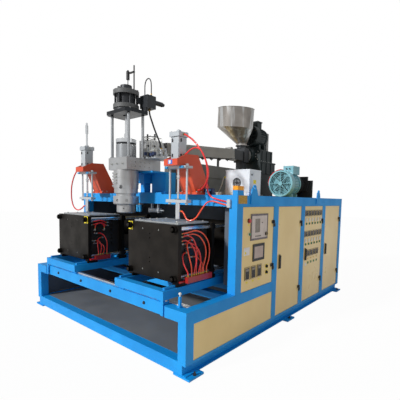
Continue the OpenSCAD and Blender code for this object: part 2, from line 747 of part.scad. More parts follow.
module blow_cylinder() {
    floor_z = arm_floor + arm_t;
    h = blow_w / 2;
    translate([0, die_y, 0]) {
        difference() {
            union() {
                span([-h, h], [-h, h], [floor_z + 34, 2225]);
                span([-h - 8, h + 8], [-h - 8, h + 8], [floor_z, floor_z + 34]);
                span([-70, 70], [-70, 70], [2225, cylinder_top]);
            }
            translate([0, 0, piston_z - pin_travel - 20])
                cylinder(r = 46, h = piston_t + 2 * pin_travel + 40);
            translate([0, 0, floor_z - cut]) cylinder(r = pin_rod_r + 0.3, h = 100);
            translate([0, 0, 2180]) cylinder(r = pin_rod_r + 0.3, h = 110);
            for (sx = [-1, 1], sy = [-1, 1]) translate([sx * 53, sy * 53, floor_z + 40])
                cylinder(r = 5, h = 180);
        }
        for (sx = [-1, 1], sy = [-1, 1]) translate([sx * 56, sy * 56, cylinder_top]) bolt_head(8);
        translate([0, 0, cylinder_top]) difference() {
            cylinder(r = 24, h = 22);
            translate([0, 0, -cut]) cylinder(r = pin_rod_r + 0.3, h = 30);
        }
    }
    difference() {
        union() {
            span([-155, 155], [die_y - 55, die_y + 55], [cage_top, cage_top + cage_t]);
            for (s = [-1, 1]) translate([s * guide_x, die_y, cage_low - 20])
                cylinder(r = guide_r, h = cage_top - cage_low + 20 + cage_t + 22);
            for (s = [-1, 1]) translate([s * guide_x, die_y, cage_top + cage_t]) bolt_head(18);
            span([-155, 155], [die_y - 35, die_y + 35], [cage_low, cage_low + low_t]);
            for (s = [-1, 1]) translate([s * guide_x, die_y, cage_low - 20]) cylinder(r = 17, h = 20, $fn = 6);
        }
        translate([0, die_y, cage_top - cut]) cylinder(r = pin_rod_r + 4, h = cage_t + 2 * cut);
        translate([0, die_y, cage_low - cut]) cylinder(r = pin_r + 0.3, h = low_t + 2 * cut);
    }
}

// The union block on the beam takes the air hoses of the right-hand unit
module blow_cylinders() color("silver") from_front() {
    for (s = [-1, 1]) translate([s * pin_x, 0, 0]) blow_cylinder();
    span([1386, 1424], [cabinet_y - 26, cabinet_y - seat], [1506, 1590]);
    for (z = [1530, 1566]) translate([1376, cabinet_y - 12, z]) difference() {
        rod_x(11, 10 + weld);
        translate([-cut, 0, 0]) rod_x(9, 12);
    }
}

// Blow pin: sleeve, rod, coupler and the piston in the blow cylinder
module blow_pin(adjuster) {
    translate([0, die_y, 0]) {
        difference() {
            union() {
                translate([0, 0, pin_tip]) cylinder(r1 = pin_r - 4, r2 = pin_r, h = 8);
                translate([0, 0, pin_tip + 8]) cylinder(r = pin_r, h = cage_low + 10 - pin_tip - 8);
            }
            translate([0, 0, pin_tip - cut]) cylinder(r = 7, h = 120);
        }
        translate([0, 0, cage_low + 10]) cylinder(r = pin_rod_r, h = cylinder_top + 30 - cage_low - 10);
        translate([0, 0, 1808]) cylinder(r = 19, h = 22);
        translate([0, 0, piston_z]) cylinder(r = 45.5, h = piston_t);
        if (adjuster) {
            translate([0, 0, cylinder_top + 30]) cylinder(r = pin_rod_r, h = 302);
            translate([0, 0, 2457]) cylinder(r = 20, h = 106);
            translate([0, 0, 2563]) cylinder(r1 = 20, r2 = 14, h = 16);
        }
        mirror([adjuster ? 1 : 0, 0, 0]) translate([0, 0, 1455]) rod_x(9, 34);
    }
}

module blow_pin_left() color("lightsteelblue") from_front() translate([-pin_x, 0, 0]) blow_pin(true);
module blow_pin_right() color("lightsteelblue") from_front() translate([pin_x, 0, 0]) blow_pin(false);

// Die head
module head_support() color("dodgerblue") from_front() {
    shelf = block_z - 20;
    span([-170, 340], [cabinet_y + 6, cabinet_y + 300], [roof_z, 1655]);
    span([30, 300], [830, 860], [1655, shelf]);
    for (x = [30, 288]) span([x, x + 12], [860, 1000], [1655, shelf]);
    span([-184, 300], [612, 1000], [shelf, block_z]);
    span([-170, -20], [740, 930], [1775, shelf]);
    span([-140, -60], [780, 880], [1655, 1775]);
}

module head_block() color("gainsboro") from_front() difference() {
    span([-block_w / 2, block_w / 2], [block_front, block_back], [block_z, block_top]);
    translate([0, die_y, block_z - cut]) cylinder(r = 60, h = block_h + 2 * cut);
    for (x = [-110, 0, 110]) translate([x, block_front - cut, block_z + 70]) rod_y(8, 30);
    for (y = [60, 120, 190, 260, 330], z = [45, 95]) translate([block_w / 2 - 28, block_front + y, block_z + z])
        rod_x(8, 30);
    translate([0, block_back - 200, block_z + 88]) rod_y(bore_r, 202);
}

module die_body() color("silver") from_front() translate([0, die_y, 0]) difference() {
    union() {
        translate([0, 0, body_z]) cylinder(r = head_r - 6, h = 60);
        translate([0, 0, body_z + 60]) cylinder(r = head_r, h = block_z - body_z - 60 - 1);
        translate([0, 0, neck_z]) cylinder(r = 120, h = body_z - neck_z);
        for (a = [200, 214], k = [0:4]) rotate([0, 0, a]) translate([head_r - 8, -11, body_z + 80 + 38 * k])
            cube([34, 22, 22]);
        translate([0, 0, block_z - 1]) cylinder(r = 130, h = 1);
    }
    translate([0, 0, neck_z - cut]) cylinder(r = 60, h = 400);
    rotate([0, 0, -60]) translate([head_r - 40, 0, body_z + 75]) rod_x(22, 60);
}

module die_ring() color("gainsboro") from_front() translate([0, die_y, 0]) {
    difference() {
        union() {
            translate([0, 0, ring_z + 12]) cylinder(r = ring_r, h = neck_z - ring_z - 12);
            translate([0, 0, ring_z]) cylinder(r1 = ring_r - 12, r2 = ring_r, h = 12);
        }
        translate([0, 0, ring_z - cut]) cylinder(r = 86, h = 120);
        for (a = [0:45:315]) rotate([0, 0, a + 12]) translate([ring_r - 34, 0, ring_z + 52]) rod_x(15, 40);
    }
    for (a = [0:45:315]) rotate([0, 0, a + 12]) translate([ring_r - 34, 0, ring_z + 52]) rod_x(9, 24);
}

module die_bushing() color("silver") from_front() translate([0, die_y, 0]) difference() {
    union() {
        translate([0, 0, die_z + 10]) cylinder(r = bushing_r, h = ring_z - die_z - 10);
        translate([0, 0, die_z]) cylinder(r1 = bushing_r - 10, r2 = bushing_r, h = 10);
        translate([0, 0, ring_z]) cylinder(r = 85.5, h = 60);
    }
    translate([0, 0, die_z - cut]) cylinder(r1 = 62, r2 = 46, h = 70);
    translate([0, 0, die_z + 60]) cylinder(r = 46, h = 120);
    for (a = [0:90:270]) rotate([0, 0, a + 40]) translate([bushing_r - 20, 0, die_z + 55]) rod_x(10, 30);
}

module column_places() {
    for (s = [-1, 1], y = [column_front, column_back]) translate([s * column_x, y, 0]) children();
}

module column_stand() color("#4a4d52") from_front() {
    column_places() {
        translate([0, 0, block_top]) cylinder(r = column_r, h = stand_z - block_top);
        translate([0, 0, block_top]) cylinder(r = column_r + 9, h = 14, $fn = 6);
    }
    difference() {
        translate([0, 0, stand_z]) linear_extrude(stand_t) polygon([[-235, 350], [-185, 300], [185, 300],
            [235, 350], [235, 592], [-235, 592]]);
        translate([0, die_y, stand_z - cut]) cylinder(r = 40, h = stand_t + 2 * cut);
    }
    translate([0, die_y, block_top]) difference() {
        cylinder(r = 120, h = 160);
        translate([0, 0, -cut]) cylinder(r = 62, h = 170);
        for (a = [210, 250]) rotate([0, 0, a]) translate([100, 0, 30]) rod_x(9, 40);
    }
}

module push_cylinder() color("gray") from_front() translate([0, die_y, 0]) {
    difference() {
        union() {
            translate([0, 0, push_z]) cylinder(r = 142, h = push_lower - push_z);
            translate([0, 0, push_lower]) cylinder(r = 152, h = 46);
            translate([0, 0, push_lower + 46]) cylinder(r = push_r, h = push_upper - push_lower - 46);
            translate([0, 0, push_upper]) cylinder(r = 152, h = 50);
            translate([0, 0, push_top]) cylinder(r = 68, h = 66);
            for (a = [45:60:345]) rotate([0, 0, a]) translate([push_r + 18, 0, 0]) {
                translate([0, 0, push_lower + 20]) cylinder(r = 13, h = push_upper - push_lower);
                translate([0, 0, push_top]) bolt_head(18);
            }
        }
        translate([0, 0, push_z + 20]) cylinder(r = push_r - 22, h = ram_travel + 63);
        translate([0, 0, push_z - cut]) cylinder(r = 14.3, h = 60);
        translate([0, 0, push_upper]) cylinder(r = 9.3, h = 140);
    }
}

// Push ram: piston, rod, coupler, disc and the pins that reach into the head
module push_ram() color("silver") from_front() translate([0, die_y, 0]) {
    translate([0, 0, push_z + 30]) cylinder(r = push_r - 22.5, h = 36);
    translate([0, 0, ram_disc_z + 42]) cylinder(r = 14, h = push_z + 30 - ram_disc_z - 42);
    translate([0, 0, push_z + 66]) cylinder(r = 9, h = 234);
    translate([0, 0, ram_disc_z + 42]) cylinder(r = 24, h = 70);
    translate([0, 0, ram_disc_z]) cylinder(r = 121, h = 42);
    for (a = [0:60:300]) rotate([0, 0, a]) translate([102, 0, ram_disc_z + 42]) bolt_head(9);
    translate([0, 0, ram_disc_z - 180]) cylinder(r = 40, h = 180);
}

// The sensor stands beside the ram's tail rod, held from a post on the upper flange
module position_sensor() color("#222222") from_front() {
    gland_top = push_top + 66;
    translate([120, die_y + 25, push_top]) cylinder(r = 8, h = 288);
    translate([34, die_y, gland_top]) cylinder(r = 5, h = 70);
    translate([34, die_y, gland_top + 66]) cylinder(r = 20, h = 94);
    translate([34, die_y, gland_top + 160]) cylinder(r = 11, h = 14);
    span([40, 128], [die_y + 4, die_y + 33], [gland_top + 140, gland_top + 150]);
}

module servo_valve() color("#1e1f22") from_front() {
    span([122, 266], [560, 690], [2660, 2810]);
    span([150, 232], [562, 591], [push_z + seat, 2660]);
    span([122, 150], [500, 560], [2712, 2784]);
    translate([228, 690, 2750]) rod_y(28, 130);
    translate([228, 820, 2750]) rod_y(20, 26);
    for (x = [134, 256]) translate([x, 625, 2810]) cylinder(r = 10, h = 10);
    translate([204, 640, 2652]) cylinder(r = 19, h = 8 - weld);
}

// Valves and unions on the extruder front, behind the die head
module valve_bank() color("#3c4046") from_front() {
    span([150, 372], [600, 900], [block_top + 0.3, block_top + 24]);
    for (k = [0:3]) translate([178 + 42 * k, 640 + 60 * k, block_top + 24]) {
        cylinder(r = 17, h = 96);
        translate([0, 0, 96]) cylinder(r = 11, h = 26);
        translate([-20, -20, 18]) cube([40, 40, 34]);
    }
    translate([346, 712, block_top + 24]) cylinder(r = 20, h = 2180 - block_top - 24);
}

// Extruder line, tilted about its own axis
module on_barrel_axis() {
    translate([0, axis_y0, axis_z0]) rotate([barrel_tilt, 0, 0]) children();
}

module extruder_barrel() color("#8a8d90") from_front() {
    on_barrel_axis() difference() {
        union() {
            translate([0, barrel_front - axis_y0, 0]) rod_y(barrel_r, barrel_back - barrel_front);
            translate([0, barrel_front - axis_y0 - 40, 0]) rod_y(barrel_r + 30, 60);
            translate([0, barrel_back - axis_y0 - 40, 0]) rod_y(barrel_r + 45, 40);
        }
        translate([0, barrel_front - axis_y0 - 60, 0]) rod_y(bore_r, barrel_back - barrel_front + 80);
        translate([0, throat_y - axis_y0, 0]) cylinder(r = 30, h = 100);
    }
    difference() {
        span([-80, 80], [block_back, 930], [block_z + 4, 2320]);
        translate([0, block_back - cut, block_z + 88]) rod_y(bore_r, 150);
        translate([0, 850, block_z + 88]) cylinder(r = bore_r, h = 2232 - block_z - 88);
        on_barrel_axis() translate([0, barrel_front - axis_y0 - 110, 0]) rod_y(bore_r, 90);
    }
}

module extruder_screw() color("silver") from_front() on_barrel_axis() {
    translate([0, 1000 - axis_y0, 0]) rod_y(22, gearbox_y - 1000);
    translate([0, 1010 - axis_y0, 0]) rotate([-90, 0, 0])
        linear_extrude(height = 1950, twist = -360 * 22, slices = 220, $fn = 10)
            translate([10, 0]) circle(r = 22, $fn = 8);
}

module barrel_cover() color("#8f9194") from_front() on_barrel_axis() {
    difference() {
        span([-120, 120], [-500, 1030], [-78, 80]);
        span([-118, 118], [-498, 1028], [-90, 78]);
        for (y = [-501, 1027]) translate([0, y, 0]) rod_y(barrel_r + 0.3, 4);
        span([-barrel_r - 0.3, barrel_r + 0.3], [-501, 1031], [-90, 0]);
    }
    translate([-20, 0, 80]) side_plate(120) polygon([[940, 0], [1030, 0], [1000, 34], [960, 34]]);
}

function barrel_low(y) = axis_z0 + (y - axis_y0) * tan(barrel_tilt) - barrel_r / cos(barrel_tilt) - seat;

module extruder_bed() color("#5c5e60") from_front() {
    span([-118, 118], [1180, 2700], [1915, 2105]);
    for (y = [1300, 2230]) span([-14, 14], [y, y + 28], [2105, barrel_low(y)]);
    for (y = [1260, 1900, 2560]) span([-100, 100], [y, y + 90], [roof_z, 1915 - weld]);
    for (s = [-1, 1], y = [1350, 1990]) span([s * 94 - 1.5, s * 94 + 1.5],
        [y + weld, y + (y < 1900 ? 550 : 570) - weld], [roof_z, 1915 - weld]);
}

module feed_throat() color("#1c1d20") from_front() difference() {
    union() {
        span([-100, 100], [2560, throat_y], [2272, 2437]);
        span([-115, 115], [throat_y - 60, throat_y + 86], [2250, 2500]);
        translate([0, throat_y + 10, 2500]) cylinder(r = 84, h = hopper_base - 2502);
        translate([0, throat_y + 10, hopper_base - 12]) cylinder(r = outlet_r + 16, h = 12 - weld);
        span([-75, 75], [throat_y - 50, throat_y + 60], [roof_z, 2250]);
    }
    on_barrel_axis() translate([0, 1000, 0]) rod_y(barrel_r + 0.3, 600);
    translate([0, throat_y + 10, 2400]) cylinder(r = 60, h = 200);
}

// A slice of the leaning bin, measured up from its seam
module bin_slice(r, from, h) {
    translate([0, hopper_y, hopper_rim]) rotate([barrel_tilt, hopper_lean, 0])
        translate([0, 0, from - hopper_h]) cylinder(r = r, h = h);
}

module hopper() color("lightgray") from_front() {
    outlet = [0, throat_y + 10, hopper_base];
    difference() {
        union() {
            bin_slice(hopper_r, 0, hopper_h);
            bin_slice(hopper_r + 5, hopper_h - 6, 6);
            hull() {
                bin_slice(hopper_r - 1, -1, 3, $fn = 32);
                translate(outlet + [0, 0, 28]) cylinder(r = outlet_r - 1, h = 3, $fn = 32);
            }
            translate(outlet) cylinder(r = outlet_r + 16, h = 8);
            translate(outlet) cylinder(r = outlet_r, h = 30);
        }
        bin_slice(hopper_r - 3, 0, hopper_h + 1);
        hull() {
            bin_slice(hopper_r - 4, 1, 1, $fn = 32);
            translate(outlet + [0, 0, 29]) cylinder(r = outlet_r - 5, h = 2, $fn = 32);
        }
        translate(outlet - [0, 0, 1]) cylinder(r = outlet_r - 4, h = 31);
    }
}

module gearbox() color("#1e3030") from_front() {
    hw = gearbox_w / 2;
    upper_back = gearbox_y + gearbox_upper_d;
    difference() {
        union() {
            span([-hw, hw], [gearbox_y, upper_back], [gearbox_split + 22, gearbox_top]);
            span([-hw - 12, hw + 12], [gearbox_y - 8, gearbox_y + gearbox_d + 8],
                [gearbox_split, gearbox_split + 22]);
            span([-hw, hw], [gearbox_y, gearbox_y + gearbox_d], [gearbox_z, gearbox_split]);
            on_barrel_axis() translate([0, 1540, 0]) rod_y(150, 120);
            for (y = [60, 220, 380]) span([-hw - 10, hw + 10], [gearbox_y + y, gearbox_y + y + 16],
                [gearbox_z, gearbox_top - 20]);
        }
        on_barrel_axis() translate([0, 1500, 0]) rod_y(23, 320);
    }
    span([-hw + 20, hw - 20], [gearbox_y + 30, gearbox_y + gearbox_d - 20], [roof_z, gearbox_z - weld]);
}

// Electric motor with its axis along Y, starting at the fan cowl
module motor_housing(r, len) {
    frame_y = 0.26 * len;
    frame_l = 0.64 * len;
    difference() {
        union() {
            rod_y(r, frame_y + 20);
            translate([0, frame_y, 0]) rod_y(r * 0.84, frame_l);
            translate([0, frame_y + frame_l, 0]) rod_y(r * 0.9, len - frame_y - frame_l);
            for (a = [0:15:345]) rotate([0, a, 0])
                translate([r * 0.8, frame_y + 6, -2.5]) cube([r * 0.14, frame_l - 12, 5]);
        }
        translate([0, 6, 0]) rod_y(r - 4, frame_y - 26);
        translate([0, frame_y + 16, 0]) rod_y(r * 0.74, frame_l - 16);
        translate([0, frame_y - 30, 0]) rod_y(r * 0.13 + 0.3, len);
        difference() {
            translate([0, -cut, 0]) rod_y(r * 0.88, 10);
            for (k = [1:7]) translate([0, -2, 0]) difference() {
                rod_y(r * (0.06 + 0.12 * k), 12);
                translate([0, -cut, 0]) rod_y(r * (0.06 + 0.12 * k) - 5, 14);
            }
            translate([0, -2, 0]) rod_y(r * 0.14, 12);
            for (a = [0:45:135]) rotate([0, a, 0]) translate([-r, -2, -3]) cube([2 * r, 12, 6]);
        }
    }
}

module motor_rotor(r, len, reach) {
    translate([0, 0.06 * len, 0]) rod_y(r * 0.13, len + reach - 0.06 * len);
    translate([0, 0.34 * len, 0]) rod_y(r * 0.72, 0.5 * len);
    translate([0, 0.07 * len, 0]) rod_y(r * 0.2, 0.12 * len);
    for (a = [0:45:315]) rotate([0, a, 0]) translate([r * 0.15, 0.07 * len, -3])
        cube([r * 0.6, 0.11 * len, 6]);
}

module extruder_motor() color("#1f3a3c") from_front() {
    translate([0, motor_y, motor_z]) motor_housing(motor_r, motor_len);
    for (y = [0.34, 0.78]) span([-150, 150], [motor_y + y * motor_len, motor_y + y * motor_len + 50],
        [gearbox_top, motor_z - motor_r * 0.8]);
    span([-70, 70], [motor_y + 0.46 * motor_len, motor_y + 0.82 * motor_len],
        [motor_z + motor_r * 0.8, motor_z + motor_r + 80]);
    span([-82, 82], [motor_y + 0.44 * motor_len, motor_y + 0.84 * motor_len],
        [motor_z + motor_r + 80, motor_z + motor_r + 100]);
}

module extruder_rotor() color("dimgray") from_front() translate([0, motor_y, motor_z]) {
    motor_rotor(motor_r, motor_len, 118);
    translate([0, motor_len + 84, 0]) difference() {
        rod_y(62, 34);
        for (k = [0:2]) translate([0, 5 + 9 * k, 0]) difference() {
            rod_y(70, 6);
            translate([0, -cut, 0]) rod_y(54, 8);
        }
    }
}

module belt_guard() color("#8c8e90") from_front() {
    y0 = gearbox_y + gearbox_upper_d + 8;
    z = [gearbox_split + 22 + seat, 2872];
    difference() {
        span([-110, 110], [y0, y0 + 70], z);
        span([-107, 107], [y0 + 3, y0 + 67], z + [3, -3]);
        translate([0, y0 - cut, motor_z]) rod_y(40, 6);
    }
}

module pump_motor() color("#5e9a9e") from_front() {
    translate([pump_x, pump_y, pump_z]) motor_housing(pump_motor_r, pump_len);
    for (y = [0.34, 0.76]) span([pump_x - 160, pump_x + 160], [pump_y + y * pump_len, pump_y + y * pump_len + 44],
        [roof_z, pump_z - pump_motor_r * 0.8]);
    span([pump_x - 20, pump_x + 170], [pump_y + 0.34 * pump_len, pump_y + 0.98 * pump_len],
        [pump_z + pump_motor_r * 0.72, pump_z + pump_motor_r + 82]);
}

module pump_rotor() color("dimgray") from_front() translate([pump_x, pump_y, pump_z])
    motor_rotor(pump_motor_r, pump_len, 60);

module pump_unit() color("#2b2e33") from_front() {
    y0 = pump_y + pump_len;
    translate([pump_x, y0, pump_z]) difference() {
        union() {
            rod_y(184, 26);
            rod_y(150, 112);
            translate([0, 110, 0]) rod_y(172, 90);
        }
        translate([0, -cut, 0]) rod_y(110, 90);
    }
    span([pump_x - 140, pump_x + 232], [y0 + 200 + weld, y0 + 240], [pump_z - 120, pump_z + 150]);
    span([pump_x - 60, pump_x + 60], [y0 + 60, y0 + 180], [roof_z, pump_z - 130]);
    span([pump_x - 120, pump_x + 320], [y0 + 240 + weld, y0 + 252], [roof_z, pump_z + 80]);
}

module control_box() color("gainsboro") from_front() {
    x = [1125, 1450];
    y = [1000, 1230];
    difference() {
        span(x, y, [roof_z, 1920]);
        span([x[0] + 2, x[1] - 2], [y[0] + 2, y[1] - 2], [roof_z + 2, 1918]);
        for (k = [0:4]) translate([1282, y[0] - cut, 1775]) difference() {
            rod_y(12 + 9 * k, 4);
            translate([0, -cut, 0]) rod_y(7 + 9 * k, 6);
        }
    }
    translate([1282, y[0] + 2, 1775]) {
        rod_y(3, 50);
        translate([-55, 0, -2]) cube([110, 2, 4]);
        translate([-2, 0, -55]) cube([4, 2, 110]);
    }
    span([x[1], x[1] + 3], [y[0] + 40, y[1] - 20], [roof_z + 40, 1900]);
    translate([x[1] + 3, y[0] + 70, 1870]) rod_x(12, 10);
}

// Doors: folded leaves with hinge knuckles, and what is mounted on them
module moving_hinge(i) {
    for (z = hinge_heights(i)) translate([hinge_x, hinge_y(i), z]) {
        difference() {
            union() {
                cylinder(r = 8, h = 38);
                translate([-9, -42, 0]) cube([4, 38, 38]);
                translate([-13, -42, 0]) cube([5, 36, 38]);
            }
            translate([0, 0, -cut]) cylinder(r = hinge_r + pin_fit, h = 42);
        }
    }
}

module door_leaf(i, z0) {
    side_tray([door_start(i) + door_gap, hinge_y(i) - door_gap], [z0 + door_gap, door_top - door_gap], leaf_x);
    moving_hinge(i);
}

function handle_y(i) = door_start(i) + 60;

module door_with_handle(i, z0) {
    difference() {
        union() {
            door_leaf(i, z0);
            span([leaf_x, leaf_x + handle_base_t], [handle_y(i) - 15, handle_y(i) + 15],
                [handle_z - handle_len + 10, handle_z + 22]);
        }
        translate([leaf_x - 40, handle_y(i), handle_z]) rod_x(6 + pin_fit, 80);
    }
}

module handle(i) color("#18181a") from_front() translate([leaf_x + handle_base_t + seat, handle_y(i), handle_z]) {
    span([0, 14], [-11, 11], [-handle_len + 14, 0]);
    rod_x(14, 14);
    translate([-34, 0, 0]) rod_x(6, 36);
    translate([-34, 0, 0]) span([-3, 0], [-8, 30], [-8, 8]);
}

module keypad(y, z, w, h, t) {
    span([leaf_x, leaf_x + t], [y - w / 2, y + w / 2], [z - h / 2, z + h / 2]);
}

module instrument(y, z, w, h) {
    difference() {
        span([leaf_x, leaf_x + 7], [y - w / 2, y + w / 2], [z - h / 2, z + h / 2]);
        span([leaf_x + 5, leaf_x + 8], [y - w / 2 + 7, y + w / 2 - 7], [z - h / 2 + 7, z + h / 2 - 7]);
    }
}

module door_1() color("tan") from_front() difference() {
    union() {
        door_leaf(1, bed_h);
        instrument(1155, 1005, 240, 190);
        instrument(1157, 1291, 356, 290);
        for (y = [934, 1056, 1180]) instrument(y, 790, 92, 140);
        translate([leaf_x + 4, 1298, 1205]) rod_x(20, 19);
    }
    translate([leaf_x - 10, 942, 1364]) rod_x(8 + pin_fit, 30);
    translate([leaf_x - 10, 955, 1219]) rod_x(8 + pin_fit, 30);
    translate([leaf_x - 10, 1342, 815]) rod_x(8 + pin_fit, 30);
    translate([leaf_x - 10, 1344, 745]) rod_x(8 + pin_fit, 30);
}

module door_2() color("tan") from_front() door_with_handle(2, door_z);

module door_3() color("tan") from_front() {
    door_with_handle(3, door_z);
    for (k = [0:5]) {
        for (z = [1412, 1115]) {
            instrument(2432 + 103 * k, z, 90, 86);
            for (dz = [-78, -112]) span([leaf_x, leaf_x + 9], [2422 + 103 * k, 2442 + 103 * k],
                [z + dz - 9, z + dz + 9]);
        }
    }
    for (k = [0:3]) {
        instrument(2540 + 106 * k, 828, 92, 92);
        span([leaf_x, leaf_x + 9], [2530 + 106 * k, 2550 + 106 * k], [738, 756]);
    }
}

module door_4() color("tan") from_front() door_with_handle(4, door_z);

module handle_2() handle(2);
module handle_3() handle(3);
module handle_4() handle(4);

module button_stem(y, z) {
    translate([leaf_x - 14, y, z]) rod_x(8, 20);
    translate([leaf_x - 18, y, z]) rod_x(13, 4);
}

module e_stop() color("red") from_front() {
    button_stem(942, 1364);
    translate([leaf_x + 6, 942, 1364]) rod_x(20, 16);
}

module start_button() color("green") from_front() {
    button_stem(955, 1219);
    translate([leaf_x + 6, 955, 1219]) rod_x(14, 9);
}

module selector(y, z) {
    button_stem(y, z);
    translate([leaf_x + 6, y, z]) {
        translate([-5.5, 0, 0]) rod_x(15, 8);
        span([2, 16], [-4, 4], [-15, 15]);
    }
}

module upper_selector() color("#18181a") from_front() selector(1342, 815);
module lower_selector() color("#18181a") from_front() selector(1344, 745);

base_frame();
cabinet_frame();
inner_sheets();
outer_panels();
shuttle_rails();
head_support();
head_block();
die_body();
die_ring();
die_bushing();
column_stand();
push_cylinder();
push_ram();
position_sensor();
servo_valve();
valve_bank();
extruder_barrel();
extruder_screw();
barrel_cover();
extruder_bed();
feed_throat();
hopper();
gearbox();
extruder_motor();
extruder_rotor();
belt_guard();
pump_motor();
pump_rotor();
pump_unit();
control_box();
door_1();
door_2();
door_3();
door_4();
handle_2();
handle_3();
handle_4();
e_stop();
start_button();
upper_selector();
lower_selector();
carriage_left();
carriage_right();
front_clamp_left();
front_clamp_right();
rear_platen_left();
rear_platen_right();
mould_front_left();
mould_front_right();
mould_rear_left();
mould_rear_right();
blow_arms();
blow_cylinders();
blow_pin_left();
blow_pin_right();
manifold_left();
manifold_right();
cooling_hoses_left();
cooling_hoses_right();
air_hoses();
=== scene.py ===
"""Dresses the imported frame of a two-station extrusion blow moulding machine.

Every CAD part gets its real material. Hoses, fittings, instruments, plates, screws and
small switchgear are pieces that ride on the CAD bodies. Places in the tables are
millimetres as in the CAD source: X from the machine's middle, Y from its front face
and Z from the floor. place() turns them to metres in the row frame.
"""
import logging
import math
from dataclasses import dataclass
from enum import Enum
from itertools import product
from typing import ClassVar, Iterable, Protocol, Sequence

import bmesh
import bpy
from mathutils import Matrix, Vector


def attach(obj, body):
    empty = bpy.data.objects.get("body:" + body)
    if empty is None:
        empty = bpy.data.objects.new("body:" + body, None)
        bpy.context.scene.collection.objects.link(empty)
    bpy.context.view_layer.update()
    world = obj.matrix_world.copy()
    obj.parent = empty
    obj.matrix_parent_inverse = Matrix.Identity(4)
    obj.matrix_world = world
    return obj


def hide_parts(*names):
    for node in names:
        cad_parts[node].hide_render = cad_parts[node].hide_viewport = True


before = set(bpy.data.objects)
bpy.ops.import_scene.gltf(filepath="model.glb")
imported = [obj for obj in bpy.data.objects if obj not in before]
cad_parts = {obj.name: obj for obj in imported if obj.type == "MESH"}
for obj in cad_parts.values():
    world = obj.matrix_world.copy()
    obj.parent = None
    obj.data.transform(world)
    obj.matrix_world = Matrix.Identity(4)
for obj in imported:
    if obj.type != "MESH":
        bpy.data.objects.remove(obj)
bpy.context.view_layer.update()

LOG = logging.getLogger("scene")
MM = 0.001
HALF_DEPTH = 1950.0
PHOTO_SIZE = 400
# Lift of a piece that covers a CAD face, so that the two faces never share a plane
SKIN = 0.3
# Planes of the CAD source that several sub-assemblies stand on, and its doors' pitch
DOOR_FACE = 1496.0
REAR = 3896.0
ROOF = 1635.0
DOOR_PITCH = 773.0
# Edges sharper than this keep a crease when a piece is shaded smooth
CREASE = math.radians(35)
WHITE_LIGHT = (1.0, 1.0, 1.0, 1.0)
PALE_FLOOR = (0.85, 0.85, 0.84, 1.0)

Point = tuple[float, float, float]
Pair = tuple[float, float]
Tree = bpy.types.NodeTree
Socket = bpy.types.NodeSocket


class Slot(Enum):
    """The record's material slots, which each piece is given and keeps but the script does not
    use.
    """

    BLUE = "frame_blue"
    TAN = "panel_tan"
    STEEL = "steel"
    DARK = "dark_steel"
    BLACK_PLATE = "black_plate"
    GREY = "grey_paint"
    ORANGE = "orange_paint"
    WHITE = "box_white"
    ALUMINIUM = "aluminium"
    BRIGHT = "bright_steel"
    BLACK = "black_plastic"
    RED = "red_plastic"
    GREEN = "green_plastic"
    HOSE_ORANGE = "hose_orange"
    HOSE_RED = "hose_red"


class SubAssembly(Protocol):
    """A group of pieces that is built in one go."""

    def build(self) -> None:
        """Makes the group's pieces."""


class Axis(Enum):
    """The direction that a round piece points in, as a turn from +Z."""

    UP = Matrix.Identity(4)
    DOWN = Matrix.Rotation(math.pi, 4, "X")
    RIGHT = Matrix.Rotation(math.pi / 2, 4, "Y")
    LEFT = Matrix.Rotation(-math.pi / 2, 4, "Y")
    FRONT = Matrix.Rotation(math.pi / 2, 4, "X")
    REAR = Matrix.Rotation(-math.pi / 2, 4, "X")


def place(point: Sequence[float]) -> Vector:
    """A point of the tables, as metres in the row frame."""
    return Vector((point[0] * MM, (point[1] - HALF_DEPTH) * MM, point[2] * MM))


def to_linear(code: str) -> tuple[float, float, float, float]:
    """Turns an sRGB hex colour to a linear one.

    Args:
        code: the colour, as "#RRGGBB".

    Returns:
        Its linear red, green, blue and alpha.
    """
    parts = [int(code[i : i + 2], 16) / 255 for i in (1, 3, 5)]
    linear = [c / 12.92 if c <= 0.04045 else ((c + 0.055) / 1.055) ** 2.4 for c in parts]
    return (linear[0], linear[1], linear[2], 1.0)


def even(side: float) -> Point:
    """A pattern cell with three equal sides."""
    return (side, side, side)


def ring(inner: float, outer: float, height: float, lip: Pair = (0.0, 0.0)) -> tuple[Pair, ...]:
    """The section of a ring, or of a disc where it has no bore.

    Args:
        inner: the radius of its bore.
        outer: its outer radius.
        height: its height.
        lip: the width and the height of the chamfer round its top.

    Returns:
        The section as (radius, height), for lathe.
    """
    width, drop = lip
    corners = ((inner, 0), (outer, 0), (outer, height - drop), (outer - width, height))
    # Corners that fall together, as without a lip, count once
    return tuple(dict.fromkeys((*corners, (inner, height))))


def bolt_circle(count: int, radius: float) -> list[Pair]:
    """Places spread evenly round a circle, the first one half a step off its axis."""
    turns = [math.tau * (step + 0.5) / count for step in range(count)]
    return [(radius * math.cos(turn), radius * math.sin(turn)) for turn in turns]


def add_node(
    tree: Tree,
    kind: str,
    settings: dict[str | int, object] | None = None,
    links: dict[str | int, Socket] | None = None,
) -> bpy.types.Node:
    """Adds one node to a tree.

    Args:
        tree: the node tree that it goes into.
        kind: the node's type name.
        settings: values by attribute name, or by the name or number of an input.
        links: the sockets that feed its inputs, by input name or number.

    Returns:
        The new node.
    """
    node = tree.nodes.new(kind)
    for key, value in (settings or {}).items():
        if isinstance(key, int) or key in node.inputs:
            node.inputs[key].default_value = value
        else:
            setattr(node, key, value)
    for key, socket in (links or {}).items():
        tree.links.new(socket, node.inputs[key])
    return node


